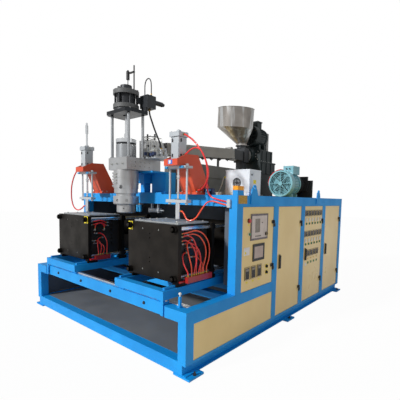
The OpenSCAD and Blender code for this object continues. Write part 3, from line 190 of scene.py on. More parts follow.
@dataclass(frozen=True)
class Finish:
    """One real material, with its colours, its gloss and its patterns in millimetres.

    Patches are the broad changes of tone and gloss, and grain is the fine relief. An
    edge is the pair of noise values between which one tone or gloss turns to the other,
    or for dust how far up a face looks, from where it starts to settle to where it lies.
    """

    TONE_EDGE: ClassVar[Pair] = (0.38, 0.66)
    GLOSS_EDGE: ClassVar[Pair] = (0.3, 0.7)
    DUST_EDGE: ClassVar[Pair] = (0.75, 1.0)
    DUST: ClassVar[str] = "#A9A49A"
    BUMP: ClassVar[float] = 0.6
    COAT_ROUGHNESS: ClassVar[float] = 0.12
    PATCH_DETAIL: ClassVar[float] = 3.0
    GRAIN_DETAIL: ClassVar[float] = 2.0

    name: str
    colour: str
    second: str
    roughness: float = 0.42
    swing: float = 0.08
    metallic: float = 0.0
    coat: float = 0.0
    patch: Point = even(320.0)
    grain: Point = even(5.0)
    depth: float = 0.03
    dust: float = 0.0

    def noise(self, tree: Tree, coords: Socket, size: Point, detail: float) -> Socket:
        """Noise whose cells have a real size.

        Args:
            tree: the material's node tree.
            coords: the coordinates that the pattern follows, in metres.
            size: the cell along each axis in millimetres.
            detail: the number of finer layers.

        Returns:
            The noise factor.
        """
        scale = tuple(1.0 / (side * MM) for side in size)
        mapping = add_node(tree, "ShaderNodeMapping", {"Scale": scale}, {"Vector": coords})
        texture = add_node(
            tree, "ShaderNodeTexNoise", {"Scale": 1.0, "Detail": detail},
            {"Vector": mapping.outputs[0]},
        )
        return texture.outputs[0]

    def span(self, tree: Tree, value: Socket, source: Pair, target: Pair) -> Socket:
        """Maps a value from one range to another, held inside it.

        Args:
            tree: the material's node tree.
            value: the value to map.
            source: the range that it comes from.
            target: the range that it goes to.

        Returns:
            The mapped value.
        """
        node = add_node(
            tree, "ShaderNodeMapRange", {1: source[0], 2: source[1], 3: target[0], 4: target[1]},
            {0: value},
        )
        return node.outputs[0]

    def mixed(self, tree: Tree, factor: Socket, low: Socket | str, high: Socket | str) -> Socket:
        """Mixes two colours.

        Args:
            tree: the material's node tree.
            factor: the share of the second colour.
            low: the first colour, a socket or a hex value.
            high: the second colour, a socket or a hex value.

        Returns:
            The mixed colour.
        """
        settings: dict[str | int, object] = {"data_type": "RGBA"}
        links = {0: factor}
        for number, side in ((6, low), (7, high)):
            if isinstance(side, str):
                settings[number] = to_linear(side)
            else:
                links[number] = side
        return add_node(tree, "ShaderNodeMix", settings, links).outputs[2]

    def base(self, tree: Tree, coords: Socket, patches: Socket) -> Socket:
        """The surface colour before dust: the first colour with patches of the second."""
        share = self.span(tree, patches, self.TONE_EDGE, (0.0, 1.0))
        return self.mixed(tree, share, self.colour, self.second)

    def material(self) -> bpy.types.Material:
        """Builds the material once.

        Returns:
            The material, or the one built before under this name.
        """
        known = bpy.data.materials.get(self.name)
        if known is not None:
            return known
        made = bpy.data.materials.new(self.name)
        made.use_nodes = True
        tree = made.node_tree
        tree.nodes.clear()
        coords = add_node(tree, "ShaderNodeTexCoord").outputs["Object"]
        patches = self.noise(tree, coords, self.patch, self.PATCH_DETAIL)
        grain = self.noise(tree, coords, self.grain, self.GRAIN_DETAIL)
        colour = self.base(tree, coords, patches)
        if self.dust > 0:
            normal = add_node(tree, "ShaderNodeNewGeometry").outputs["Normal"]
            up = add_node(tree, "ShaderNodeSeparateXYZ", {}, {0: normal}).outputs["Z"]
            share = self.span(tree, up, self.DUST_EDGE, (0.0, self.dust))
            colour = self.mixed(tree, share, colour, self.DUST)
        gloss = (self.roughness - self.swing, self.roughness + self.swing)
        rough = self.span(tree, patches, self.GLOSS_EDGE, gloss)
        relief: dict[str | int, object] = {"Strength": self.BUMP, "Distance": self.depth * MM}
        bump = add_node(tree, "ShaderNodeBump", relief, {"Height": grain})
        shader = add_node(
            tree,
            "ShaderNodeBsdfPrincipled",
            {
                "Metallic": self.metallic,
                "Coat Weight": self.coat,
                "Coat Roughness": self.COAT_ROUGHNESS,
            },
            {"Base Color": colour, "Roughness": rough, "Normal": bump.outputs[0]},
        )
        add_node(tree, "ShaderNodeOutputMaterial", {}, {"Surface": shader.outputs[0]})
        return made


@dataclass(frozen=True)
class TwoLevel(Finish):
    """A part of one colour below a height in millimetres and another above it, used here for
    painted shade and painted light that change at that height.
    """

    SOFT_EDGE: ClassVar[float] = 0.5

    level: float = 0.0
    upper: str = "#FFFFFF"

    def base(self, tree: Tree, coords: Socket, patches: Socket) -> Socket:
        """The colours of Finish, with the upper colour above the level.

        Args:
            tree: the material's node tree.
            coords: the coordinates that the level is measured in.
            patches: the noise of the broad patches.

        Returns:
            The surface colour.
        """
        height = add_node(tree, "ShaderNodeSeparateXYZ", {}, {0: coords}).outputs["Z"]
        edge = ((self.level - self.SOFT_EDGE) * MM, (self.level + self.SOFT_EDGE) * MM)
        share = self.span(tree, height, edge, (0.0, 1.0))
        return self.mixed(tree, share, super().base(tree, coords, patches), self.upper)


@dataclass(frozen=True)
class ReflectionStreaked(Finish):
    """Sheet steel with soft bright streaks down it: painted reflections of the bright surround, as
    a polished cylinder shows them.
    """

    STREAK_EDGE: ClassVar[Pair] = (0.5, 0.72)
    # Length of a streak in its own widths, and how much of its colour shows at most
    STRETCH: ClassVar[float] = 12.0
    SHOW: ClassVar[float] = 0.8

    reflection_streak: str = "#FFFFFF"
    width: float = 60.0

    def base(self, tree: Tree, coords: Socket, patches: Socket) -> Socket:
        """The colours of Finish, with vertical streaks of painted reflection over them.

        Args:
            tree: the material's node tree.
            coords: the coordinates that the streaks follow.
            patches: the noise of the broad patches.

        Returns:
            The surface colour.
        """
        cell = (self.width, self.width, self.width * self.STRETCH)
        streaks = self.noise(tree, coords, cell, self.GRAIN_DETAIL)
        share = self.span(tree, streaks, self.STREAK_EDGE, (0.0, self.SHOW))
        return self.mixed(tree, share, super().base(tree, coords, patches), self.reflection_streak)


# Powder-coated steel: even, with a soft orange-peel gloss
AZURE = Finish("azure_powder_coat", "#0098E4", "#008CD8", 0.55, 0.05)
# Glossy stove enamel on folded doors: smooth, with a soft sheen
TAN = Finish(
    "tan_stove_enamel", "#F2D48F", "#EACA85", 0.32, 0.06, coat=0.25, patch=(500.0, 500.0, 700.0)
)
# Zinc sheet painted slate grey, rubbed where feet and tools touch it; its dark tone is partly
# painted shade of the station's inside, and it lines the closed side's panels as painted shade
SLATE = Finish("slate_painted_sheet", "#4C5560", "#5E6670", 0.55, 0.1, dust=0.25)
# Machined steel of the head and the barrel, turned and ground, greyed by heat
HEAD_STEEL = Finish(
    "turned_head_steel", "#B8BABC", "#A2A2A2", 0.34, 0.08, 0.65, grain=(40.0, 40.0, 0.9),
    depth=0.02,
)
# Ground rails and rods: bright, with fine lengthwise lines
GROUND_STEEL = Finish(
    "ground_rail_steel", "#D8DADC", "#C2C5C8", 0.24, 0.06, 0.8, grain=(60.0, 0.8, 0.8), depth=0.01
)
# Hard-chromed rods, the brightest metal here
CHROME = Finish(
    "hard_chrome_rod", "#E4E7EA", "#D2D6DA", 0.16, 0.05, 0.85, grain=(1.2, 1.2, 80.0), depth=0.005
)
# Blackened castings and cylinder barrels with an oily film
DARK_STEEL = Finish(
    "oiled_black_casting", "#33363A", "#24262A", 0.42, 0.12, 0.3, grain=even(4.0), depth=0.12
)
# Platens: black-oxide plate that sun and handling turn a little brown
BLACK_OXIDE = Finish(
    "black_oxide_platen", "#2A2622", "#1E1B18", 0.5, 0.08, 0.85, patch=even(180.0)
)
# Mould blocks: sides darkened to near black as painted shade, and a ground top plate kept bright,
# partly its own silver and partly painted light on the lit top
MOULD_PAINTED_SHADE = TwoLevel(
    "mould_steel_painted_shade", "#1F1E1D", "#2A2826", 0.42, 0.1, 0.2, level=1334.0, upper="#A4A8AA"
)
# Head stand: bright turned columns, and near black above 2568 mm: painted shade on the top plate's
# underside and on the columns' tops under it
STAND_PAINTED_SHADE = TwoLevel(
    "stand_steel_painted_shade", "#A6A9AC", "#8A8D90", 0.32, 0.08, 0.6, level=2568.0, upper="#26292D"
)
# Grey enamel on the barrel cover and the guards, slightly chalked
GREY_ENAMEL = Finish("grey_enamel", "#9C9B98", "#8E8D8A", 0.5, 0.08, dust=0.12)
# Charcoal enamel on the extruder's bed
CHARCOAL = Finish("charcoal_enamel", "#676868", "#585959", 0.55, 0.08, dust=0.15)
# Dark green machinery enamel on the gearbox and its motor, with oil on it
MACHINE_GREEN = Finish("dark_green_enamel", "#0C2022", "#08171A", 0.55, 0.08)
# Teal machinery enamel on the hydraulic pump's motor
TEAL = Finish("teal_enamel", "#84BECC", "#70AAB8", 0.38, 0.08, coat=0.2, dust=0.05)
# Orange-red enamel on the welded blow arms
ARM_ORANGE = Finish("orange_red_enamel", "#D9512C", "#CC4624", 0.4, 0.08, coat=0.15)
# Light grey powder coat of the small switch box
BOX_GREY = Finish("light_grey_powder_coat", "#E2E8EE", "#D8DFE6", 0.45, 0.06)
# Natural anodised aluminium of cylinders and valve blocks: satin, finely drawn along Z
ALUMINIUM = Finish(
    "anodised_aluminium", "#C4C9CD", "#B4BABF", 0.36, 0.05, 0.3, grain=(0.8, 0.8, 60.0), depth=0.01
)
# Spun stainless sheet of the hopper, with long bright streaks painted on as reflections of the
# surround
STAINLESS = ReflectionStreaked(
    "spun_stainless_painted_reflections", "#A29D98", "#88837E", 0.3, 0.08, 0.55, grain=(0.9, 0.9, 50.0), depth=0.01,
    reflection_streak="#E6ECF0", width=90.0,
)
# Water manifolds in red enamel
RED_ENAMEL = Finish("red_enamel", "#B8241E", "#A01C1A", 0.38, 0.08, coat=0.3)
# Polyurethane hose: extruded, translucent and shiny
HOSE_ORANGE = Finish(
    "orange_polyurethane", "#FF5C34", "#F44C26", 0.26, 0.05, coat=0.4, patch=even(30.0)
)
HOSE_RED = Finish("red_polyurethane", "#F03230", "#DC2A2C", 0.26, 0.05, coat=0.4, patch=even(30.0))
# Rubber hydraulic hose with a cloth-marked black cover
HOSE_BLACK = Finish(
    "black_rubber_cover", "#26272A", "#1C1D20", 0.62, 0.06, grain=even(2.0), depth=0.15
)
# Moulded black ABS of handles, housings and bezels
BLACK_ABS = Finish(
    "moulded_black_abs", "#141416", "#1B1B1E", 0.5, 0.08, grain=even(1.5), depth=0.05
)
RED_ABS = Finish("moulded_red_abs", "#C81E28", "#B41822", 0.32, 0.05, coat=0.3, patch=even(20.0))
GREEN_ABS = Finish(
    "moulded_green_abs", "#1E8A4A", "#18763E", 0.32, 0.05, coat=0.3, patch=even(20.0)
)
WHITE_ABS = Finish("moulded_white_abs", "#EAE8E2", "#DAD6CE", 0.4, 0.05, patch=even(40.0))
BLUE_ABS = Finish(
    "moulded_blue_nylon", "#2AA0DC", "#1E86C0", 0.32, 0.06, coat=0.3, patch=even(30.0)
)
NAVY_ABS = Finish("moulded_navy_coil", "#1E3058", "#18264A", 0.42, 0.06, patch=even(30.0))
# Printed polyester plates, left blank: flat, half matt
YELLOW_FOIL = Finish("yellow_polyester_foil", "#F2DC1E", "#E6CE18", 0.4, 0.05, patch=even(40.0))
WHITE_FOIL = Finish("white_polyester_foil", "#F0ECEA", "#E2DAD6", 0.4, 0.05, patch=even(50.0))
BLUE_FOIL = Finish("blue_polyester_foil", "#3C78D8", "#3068C4", 0.4, 0.05, patch=even(30.0))
# Anodised gold nameplate, etched and dulled
GOLD_PLATE = Finish(
    "gold_anodised_plate", "#B8923C", "#9A7830", 0.4, 0.1, 0.5, patch=(25.0, 25.0, 12.0)
)
# Yellow zinc-chromate caps
CAP_YELLOW = Finish("yellow_chromate_cap", "#F2A41C", "#E08A18", 0.38, 0.08, 0.2, patch=even(40.0))
# Instrument faces: warm grey membrane, and dark glass over the displays
MEMBRANE = Finish("membrane_keypad", "#DACCC4", "#CEC0B8", 0.45, 0.05, patch=even(60.0))
GLASS_BROWN = Finish(
    "smoked_display_glass", "#B0968A", "#A48A7E", 0.18, 0.04, coat=0.6, patch=even(90.0)
)
GLASS_GREY = Finish(
    "grey_display_glass", "#857B6F", "#766C60", 0.24, 0.04, coat=0.2, patch=even(60.0)
)
GLASS_DARK = Finish("dark_display_glass", "#241D17", "#30261E", 0.36, 0.04, patch=even(20.0))
BEZEL_GREY = Finish("grey_moulded_bezel", "#6E6468", "#625A60", 0.42, 0.06, patch=even(60.0))
# Zinc-plated screws, nuts and small fittings
ZINC = Finish(
    "zinc_plated_steel", "#C8C9C6", "#B4B5B0", 0.3, 0.08, 0.7, patch=even(12.0), grain=even(1.0)
)
# Brass ferrules and unions
BRASS = Finish(
    "turned_brass", "#C8A04C", "#B08A3C", 0.28, 0.06, 0.85, patch=even(12.0), grain=even(1.0)
)

NODE_FINISHES: dict[Finish, tuple[str, ...]] = {
    AZURE: ("base_frame", "cabinet_frame", "head_support", "carriage_left", "carriage_right"),
    TAN: ("outer_panels", "door_1", "door_2", "door_3", "door_4"),
    SLATE: ("inner_sheets",),
    HEAD_STEEL: ("head_block", "die_body", "die_ring", "die_bushing", "extruder_barrel"),
    GROUND_STEEL: ("shuttle_rails", "extruder_screw"),
    CHROME: ("push_ram", "blow_pin_left", "blow_pin_right"),
    DARK_STEEL: (
        "push_cylinder", "servo_valve", "pump_unit", "extruder_rotor", "pump_rotor", "feed_throat",
    ),
    BLACK_OXIDE: (
        "front_clamp_left", "front_clamp_right", "rear_platen_left", "rear_platen_right",
    ),
    MOULD_PAINTED_SHADE: ("mould_front_left", "mould_front_right", "mould_rear_left", "mould_rear_right"),
    STAND_PAINTED_SHADE: ("column_stand",),
    GREY_ENAMEL: ("barrel_cover", "belt_guard"),
    CHARCOAL: ("extruder_bed",),
    MACHINE_GREEN: ("gearbox", "extruder_motor"),
    TEAL: ("pump_motor",),
    ARM_ORANGE: ("blow_arms",),
    BOX_GREY: ("control_box",),
    ALUMINIUM: ("blow_cylinders", "valve_bank"),
    STAINLESS: ("hopper",),
    RED_ENAMEL: ("manifold_left", "manifold_right"),
    HOSE_RED: ("cooling_hoses_left",),
    HOSE_ORANGE: ("cooling_hoses_right", "air_hoses"),
    BLACK_ABS: (
        "position_sensor", "handle_2", "handle_3", "handle_4", "upper_selector", "lower_selector",
    ),
    RED_ABS: ("e_stop",),
    GREEN_ABS: ("start_button",),
}


class Part:
    """One piece in the making: primitives in millimetres, gathered in one mesh."""

    def __init__(self, name: str, finish: Finish, slot: Slot, body: str = "machine_frame") -> None:
        """Starts an empty piece.

        Args:
            name: its name.
            finish: its finish.
            slot: the record's material slot meant for it; not used.
            body: the body that it rides on.
        """
        self.name = name
        self.finish = finish
        self.slot = slot
        self.body = body
        self.base = Matrix.Identity(4)
        self.mesh = bmesh.new()

    def take(self, shape: bmesh.types.BMesh, matrix: Matrix) -> None:
        """Moves a shape to its place and adds it.

        Args:
            shape: the shape in millimetres at its own origin. It is freed here.
            matrix: its turn, before the move to the row frame.
        """
        shape.transform(self.base @ matrix)
        shape.transform(Matrix.Scale(MM, 4))
        shape.transform(Matrix.Translation((0.0, -HALF_DEPTH * MM, 0.0)))
        spare = bpy.data.meshes.new("spare")
        shape.to_mesh(spare)
        shape.free()
        self.mesh.from_mesh(spare)
        bpy.data.meshes.remove(spare)

    def block(
        self, low: Point, high: Point, bevel: float = 1.0, sink: float = 0.0, rim: float = 0.0
    ) -> "Part":
        """A box between two corners, with bevelled edges.

        Args:
            low: its lowest corner.
            high: its highest corner.
            bevel: the width of its bevels.
            sink: how deep its +X face is let in behind a rim, where there is one.
            rim: the width of that rim.

        Returns:
            The piece itself.
        """
        shape = bmesh.new()
        bmesh.ops.create_cube(shape, size=1.0)
        size = [high[i] - low[i] for i in range(3)]
        bmesh.ops.scale(shape, vec=size, verts=shape.verts)
        if rim > 0:
            face = max(shape.faces, key=lambda f: f.calc_center_median().x)
            bmesh.ops.inset_individual(shape, faces=[face], thickness=rim)
            bmesh.ops.translate(shape, vec=(-sink, 0.0, 0.0), verts=face.verts)
        elif bevel > 0:
            bmesh.ops.bevel(
                shape, geom=shape.edges[:], offset=min(bevel, min(size) * 0.3), affect="EDGES",
                segments=1, profile=0.5, material=-1,
            )
        centre = [(high[i] + low[i]) / 2 for i in range(3)]
        self.take(shape, Matrix.Translation(centre))
        return self

    def plate(
        self, x: float, thick: float, low: Pair, high: Pair, bevel: float = 1.0, **let_in: float
    ) -> "Part":
        """A box that stands on a plane across X, such as a door's face.

        Args:
            x: the plane.
            thick: how far the box stands out of it.
            low: its lowest corner as (y, z).
            high: its highest corner as (y, z).
            bevel: the width of its bevels.
            let_in: the sink and rim of block, where it has them.

        Returns:
            The piece itself.
        """
        return self.block((x, *low), (x + thick, *high), bevel, **let_in)

    def rod(
        self,
        base: Point,
        axis: Axis,
        radius: float,
        length: float,
        sides: int = 20,
        end: float | None = None,
    ) -> "Part":
        """A rod, cone or prism that starts at base and points along axis.

        Args:
            base: the middle of its first face.
            axis: the direction that it points in.
            radius: its radius at the base.
            length: its length.
            sides: its number of sides, 6 for a nut.
            end: its radius at the far end, where it tapers.

        Returns:
            The piece itself.
        """
        shape = bmesh.new()
        bmesh.ops.create_cone(
            shape, cap_ends=True, segments=sides, radius1=radius,
            radius2=radius if end is None else end, depth=length,
            matrix=Matrix.Translation((0.0, 0.0, length / 2)),
        )
        self.take(shape, Matrix.Translation(base) @ axis.value)
        return self

    def lathe(self, base: Point, axis: Axis, profile: Sequence[Pair], steps: int = 24) -> "Part":
        """A turned shape.

        Args:
            base: the origin of its axis.
            axis: the direction that it points in.
            profile: its outline as (radius, height), closed by the axis or by itself.
            steps: the number of faces round it.

        Returns:
            The piece itself.
        """
        shape = bmesh.new()
        verts = [shape.verts.new((r, 0.0, h)) for r, h in profile]
        edges = [shape.edges.new(pair) for pair in zip(verts, verts[1:])]
        if min(profile[0][0], profile[-1][0]) > 0:
            edges.append(shape.edges.new((verts[-1], verts[0])))
        bmesh.ops.spin(
            shape, geom=verts + edges, cent=(0.0, 0.0, 0.0), axis=(0.0, 0.0, 1.0), angle=math.tau,
            steps=steps, use_merge=True,
        )
        bmesh.ops.remove_doubles(shape, verts=shape.verts, dist=0.01)
        bmesh.ops.recalc_face_normals(shape, faces=shape.faces)
        self.take(shape, Matrix.Translation(base) @ axis.value)
        return self

    def screw(self, base: Point, axis: Axis, radius: float) -> None:
        """A socket head cap screw.

        Args:
            base: the place that its head stands on.
            axis: the direction that its head points in.
            radius: the radius of its head.
        """
        height = radius * 1.1
        socket, floor, edge = radius * 0.5, height * 0.4, 0.85
        section = (
            (0.0, 0.0), (radius, 0.0), (radius, height * edge), (radius * edge, height),
            (socket, height), (socket, floor), (0.0, floor),
        )
        self.lathe(base, axis, section, 12)

    def pipe(self, points: Sequence[Point], radius: float) -> None:
        """A bent rigid pipe, made from a bevelled curve.

        Args:
            points: the points that its centreline goes through.
            radius: its radius.
        """
        made = tube_curve("pipe", [place(p) for p in points], radius * MM)
        bpy.context.view_layer.update()
        solved = made.evaluated_get(bpy.context.evaluated_depsgraph_get())
        mesh = bpy.data.meshes.new_from_object(solved)
        self.mesh.from_mesh(mesh)
        curve = made.data
        bpy.data.objects.remove(made)
        bpy.data.curves.remove(curve)
        bpy.data.meshes.remove(mesh)

    def done(self) -> bpy.types.Object:
        """Makes the object, gives it its material, and sets what it rides on.

        Returns:
            The finished piece.
        """
        mesh = bpy.data.meshes.new(self.name)
        self.mesh.to_mesh(mesh)
        self.mesh.free()
        for face in mesh.polygons:
            face.use_smooth = True
        mesh.set_sharp_from_angle(angle=CREASE)
        made = bpy.data.objects.new(self.name, mesh)
        bpy.context.scene.collection.objects.link(made)
        mesh.materials.append(self.finish.material())
        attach(made, self.body)
        LOG.info("%s: %d faces on %s", self.name, len(mesh.polygons), self.body)
        return made


def smooth_route(points: Sequence[Vector], steps: int) -> list[Vector]:
    """A smooth curve through the points, as the CAD source draws it.

    Args:
        points: the route's points.
        steps: how many points each stretch is drawn with.

    Returns:
        The points of the curve.
    """
    last = len(points) - 1
    done = []
    for i in range(last):
        a, b, c, d = points[max(i - 1, 0)], points[i], points[i + 1], points[min(i + 2, last)]
        square, cube = 2 * a - 5 * b + 4 * c - d, 3 * b - a - 3 * c + d
        for k in range(steps):
            t = k / steps
            done.append(0.5 * (2 * b + (c - a) * t + square * t**2 + cube * t**3))
    return done + [points[last]]


def tube_curve(name: str, points: Sequence[Vector], radius: float) -> bpy.types.Object:
    """A curve of one open spline with a round section.

    Args:
        name: the object's name.
        points: its centreline in metres.
        radius: its radius in metres.

    Returns:
        The curve object, linked to the scene.
    """
    curve = bpy.data.curves.new(name, "CURVE")
    curve.dimensions = "3D"
    curve.bevel_depth = radius
    curve.bevel_resolution = 3
    curve.use_fill_caps = True
    spline = curve.splines.new("POLY")
    spline.points.add(len(points) - 1)
    for spot, point in zip(spline.points, points):
        spot.co = (*point, 1.0)
    spline.use_smooth = True
    made = bpy.data.objects.new(name, curve)
    bpy.context.scene.collection.objects.link(made)
    return made


@dataclass
class HoseSet:
    """A CAD node of hoses, drawn again as smooth cords along its routes and a few more."""

    node: str
    body: str
    routes: tuple[tuple[Point, ...], ...]
    radii: tuple[float, ...]
    finishes: tuple[Finish, ...]
    slot: Slot
    stiffness: str
    fittings: str
    steps: int = 6

    def build(self) -> None:
        """Makes the cords and the ferrules at their ends."""
        ends = Part(self.fittings, BRASS, Slot.STEEL, self.body)
        hoses = zip(self.routes, self.radii, self.finishes)
        for number, (route, radius, finish) in enumerate(hoses, 1):
            points = smooth_route([place(p) for p in route], self.steps)
            cord = tube_curve(f"{self.node}_{number}", points, radius * MM)
            cord.data.materials.append(finish.material())
            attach(cord, self.body)
            if number == 1:
                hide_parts(self.node)
            for near, after in ((route[0], route[1]), (route[-1], route[-2])):
                self.ferrule(ends, near, after, radius)
        ends.done()

    def ferrule(self, part: Part, near: Point, after: Point, radius: float) -> None:
        """The collar that holds one end of a hose.

        Args:
            part: the piece that it becomes part of.
            near: the hose's end.
            after: the next point of its route, which says where it leads.
            radius: the hose's radius.
        """
        step = [b - a for a, b in zip(near, after)]
        lead = max(range(3), key=lambda i: abs(step[i]))
        names = ((Axis.LEFT, Axis.RIGHT), (Axis.FRONT, Axis.REAR), (Axis.DOWN, Axis.UP))
        axis = names[lead][1 if step[lead] > 0 else 0]
        bore, outer = radius + 0.1, radius + 3.0
        neck = outer - 1.2
        section = (
            (bore, 0.5), (outer, 0.5), (outer, 9.0), (neck, 9.6), (neck, 13.0), (bore, 13.0),
        )
        part.lathe(near, axis, section, 16)


COOLING_RIGHT: tuple[tuple[Point, ...], ...] = (
    ((1162, 262, 1244), (1176, 340, 1252), (1202, 424, 1268), (1220, 510, 1238),
     (1234, 576, 1160), (1240, 600, 1060), (1242, 588, 960), (1240, 560, 892), (1240, 556, 832)),
    ((1162, 270, 1212), (1176, 336, 1222), (1200, 388, 1190), (1222, 410, 1120),
     (1236, 410, 1040), (1240, 404, 960), (1240, 400, 892), (1240, 400, 832)),
    ((1162, 400, 1172), (1174, 352, 1169), (1192, 314, 1138), (1216, 300, 1080),
     (1234, 306, 1010), (1240, 324, 944), (1240, 334, 888), (1240, 334, 832)),
    ((1162, 384, 1100), (1182, 438, 1090), (1212, 468, 1036), (1234, 470, 962), (1240, 466, 892),
     (1240, 466, 832)),
    ((1162, 330, 1050), (1174, 286, 1047), (1192, 254, 1018), (1216, 244, 964), (1234, 260, 910),
     (1240, 280, 868), (1240, 286, 832)),
    ((1162, 420, 1000), (1180, 472, 990), (1210, 506, 944), (1234, 514, 888), (1240, 512, 832)),
    ((1162, 300, 1140), (1180, 352, 1148), (1214, 412, 1120), (1248, 440, 1050),
     (1260, 444, 960), (1248, 436, 888), (1240, 433, 832)),
    ((1162, 360, 1226), (1182, 420, 1232), (1216, 480, 1200), (1252, 512, 1120),
     (1268, 512, 1030), (1258, 496, 930), (1243, 490, 880), (1240, 489, 832)),
    ((1162, 262, 1170), (1180, 308, 1176), (1214, 350, 1140), (1248, 372, 1064),
     (1262, 376, 970), (1248, 370, 890), (1240, 367, 832)),
)
COOLING_LEFT: tuple[tuple[Point, ...], ...] = (
    ((-468, 300, 1166), (-468, 306, 1202), (-468, 330, 1228), (-468, 368, 1238),
     (-468, 406, 1228), (-468, 430, 1202), (-468, 436, 1166)),
    ((-468, 330, 1106), (-458, 382, 1102), (-438, 420, 1064), (-416, 438, 1000),
     (-409, 440, 940), (-408, 436, 884), (-408, 436, 832)),
    ((-468, 392, 1046), (-454, 346, 1040), (-430, 314, 996), (-412, 306, 940), (-408, 312, 884),
     (-408, 312, 832)),
    ((-468, 320, 976), (-458, 362, 972), (-434, 396, 942), (-414, 402, 896), (-408, 388, 860),
     (-408, 376, 832)),
    ((-468, 300, 1010), (-456, 336, 1008), (-430, 362, 968), (-412, 356, 900), (-408, 346, 868),
     (-408, 344, 832)),
    ((-468, 262, 1262), (-462, 296, 1266), (-452, 350, 1274), (-450, 400, 1268),
     (-458, 436, 1252), (-468, 470, 1242)),
    ((-468, 262, 1222), (-460, 298, 1228), (-446, 350, 1242), (-444, 400, 1238),
     (-456, 438, 1216), (-468, 470, 1202)),
)
AIR_HOSES: tuple[tuple[Point, ...], ...] = (
    ((988, 450, 2249), (1022, 450, 2240), (1062, 450, 2216), (1110, 451, 2186),
     (1154, 452, 2148), (1196, 456, 2104), (1236, 462, 2052), (1268, 470, 1990),
     (1286, 484, 1925), (1284, 506, 1862), (1258, 532, 1806), (1212, 562, 1758),
     (1150, 594, 1718), (1084, 622, 1690), (1018, 640, 1680)),
    ((975.5, 470, 2040), (1010, 477, 2060), (1052, 483, 2088), (1102, 488, 2106),
     (1152, 492, 2102), (1198, 498, 2068), (1230, 508, 2008), (1244, 522, 1940),
     (1238, 544, 1874), (1212, 576, 1810), (1176, 614, 1752), (1150, 650, 1700),
     (1142, 680, 1656), (1160, 697, 1620), (1202, 701, 1599), (1264, 702, 1584),
     (1330, 703, 1572), (1386, 703, 1566)),
    ((952, 450, 1455), (982, 450, 1451), (1010, 450, 1428), (1030, 450, 1396), (1056, 452, 1371),
     (1092, 460, 1364), (1127, 477, 1377), (1148, 506, 1412), (1156, 546, 1464),
     (1158, 596, 1516), (1164, 642, 1552), (1192, 680, 1566), (1242, 699, 1558),
     (1310, 703, 1542), (1386, 703, 1530)),
    ((-1018, 400, 1970), (-1100, 402, 1950), (-1180, 406, 1896), (-1250, 412, 1820),
     (-1306, 420, 1730), (-1338, 430, 1630), (-1344, 438, 1530), (-1316, 446, 1440),
     (-1248, 450, 1392), (-1160, 452, 1384), (-1076, 452, 1412), (-1014, 450, 1444),
     (-952, 450, 1455)),
    ((134, 625, 2820), (134, 625, 2880), (134, 625, 2935), (141, 625, 2978), (162, 625, 3010),
     (194, 625, 3022), (226, 625, 3010), (247, 625, 2978), (254, 625, 2935), (256, 625, 2880),
     (256, 625, 2820)),
    ((204, 640, 2651.7), (205, 640, 2624), (214, 642, 2586), (238, 646, 2526), (266, 654, 2452),
     (286, 668, 2388), (312, 688, 2310), (336, 704, 2240), (346, 712, 2180)),
)

HOSE_SETS = (
    HoseSet(
        node="cooling_hoses_right",
        body="front_clamp_right",
        routes=COOLING_RIGHT,
        radii=(7.0,) * 9,
        finishes=(
            HOSE_ORANGE, HOSE_RED, HOSE_ORANGE, HOSE_ORANGE, HOSE_RED, HOSE_ORANGE, HOSE_RED,
            HOSE_ORANGE, HOSE_RED,
        ),
        slot=Slot.HOSE_ORANGE,
        stiffness="medium",
        fittings="cooling_ferrules_right",
    ),
    HoseSet(
        node="cooling_hoses_left", body="front_clamp_left", routes=COOLING_LEFT, radii=(7.0,) * 7,
        finishes=(HOSE_RED,) * 7, slot=Slot.HOSE_RED, stiffness="medium",
        fittings="cooling_ferrules_left",
    ),
    HoseSet(
        node="air_hoses", body="machine_frame", routes=AIR_HOSES,
        radii=(9.0, 8.0, 8.0, 9.0, 6.5, 10.0),
        finishes=(HOSE_RED, HOSE_RED, HOSE_ORANGE, HOSE_RED, HOSE_BLACK, HOSE_BLACK),
        slot=Slot.HOSE_ORANGE, stiffness="medium", fittings="air_ferrules",
    ),
)


@dataclass
class Hinges:
    """Black leaves and knuckles of the doors' lift-off hinges, over the CAD hinges."""

    x: float = 1509.0
    first: float = 1477.0
    knuckle: float = 8.4
    heights: tuple[Pair, ...] = ((794, 1315), (372, 1280), (372, 1280), (372, 1280))

    def build(self) -> None:
        """Makes the fixed halves as one piece and each door's halves as another."""
        fixed = Part("hinge_halves_fixed", BLACK_ABS, Slot.BLACK)
        for number, heights in enumerate(self.heights):
            y = self.first + number * DOOR_PITCH
            body = f"door_{number + 1}"
            moving = Part(f"hinge_halves_{body}", BLACK_ABS, Slot.BLACK, body)
            for z in heights:
                moving.rod((self.x, y, z + SKIN), Axis.UP, self.knuckle, 37.7, 16)
                moving.block((1495.8, y - 42.4, z - 0.1), (1504.4, y - 3.6, z + 38.4))
                fixed.rod((self.x, y, z - 40.3), Axis.UP, self.knuckle, 39.2, 16)
                fixed.block((1499.8, y + 3.6, z - 40.4), (1504.4, y + 40.4, z - 0.6))
            moving.done()
        fixed.done()


@dataclass
class HandlePlates:
    """Black base plates and key locks of the three swing handles."""

    first: float = 1655.0
    half: float = 15.3
    thick: float = 10.1
    low: float = 734.7
    high: float = 912.3
    lock_radius: float = 6.0

    def build(self) -> None:
        """Makes one base plate with its lock for each door with a handle."""
        for number in range(3):
            y = self.first + number * DOOR_PITCH
            body = f"door_{number + 2}"
            plate = Part(f"handle_plate_{number + 2}", BLACK_ABS, Slot.BLACK, body)
            low, high = (y - self.half, self.low), (y + self.half, self.high)
            plate.plate(DOOR_FACE - 0.2, self.thick + 0.2, low, high, 1.5)
            plate.done()
            lock = Part(f"handle_lock_{number + 2}", ZINC, Slot.BRIGHT, body)
            spot = (DOOR_FACE + self.thick, y, self.low + 9)
            lock.lathe(spot, Axis.RIGHT, ring(0, self.lock_radius, 5, (1, 1)), 16)
            lock.done()


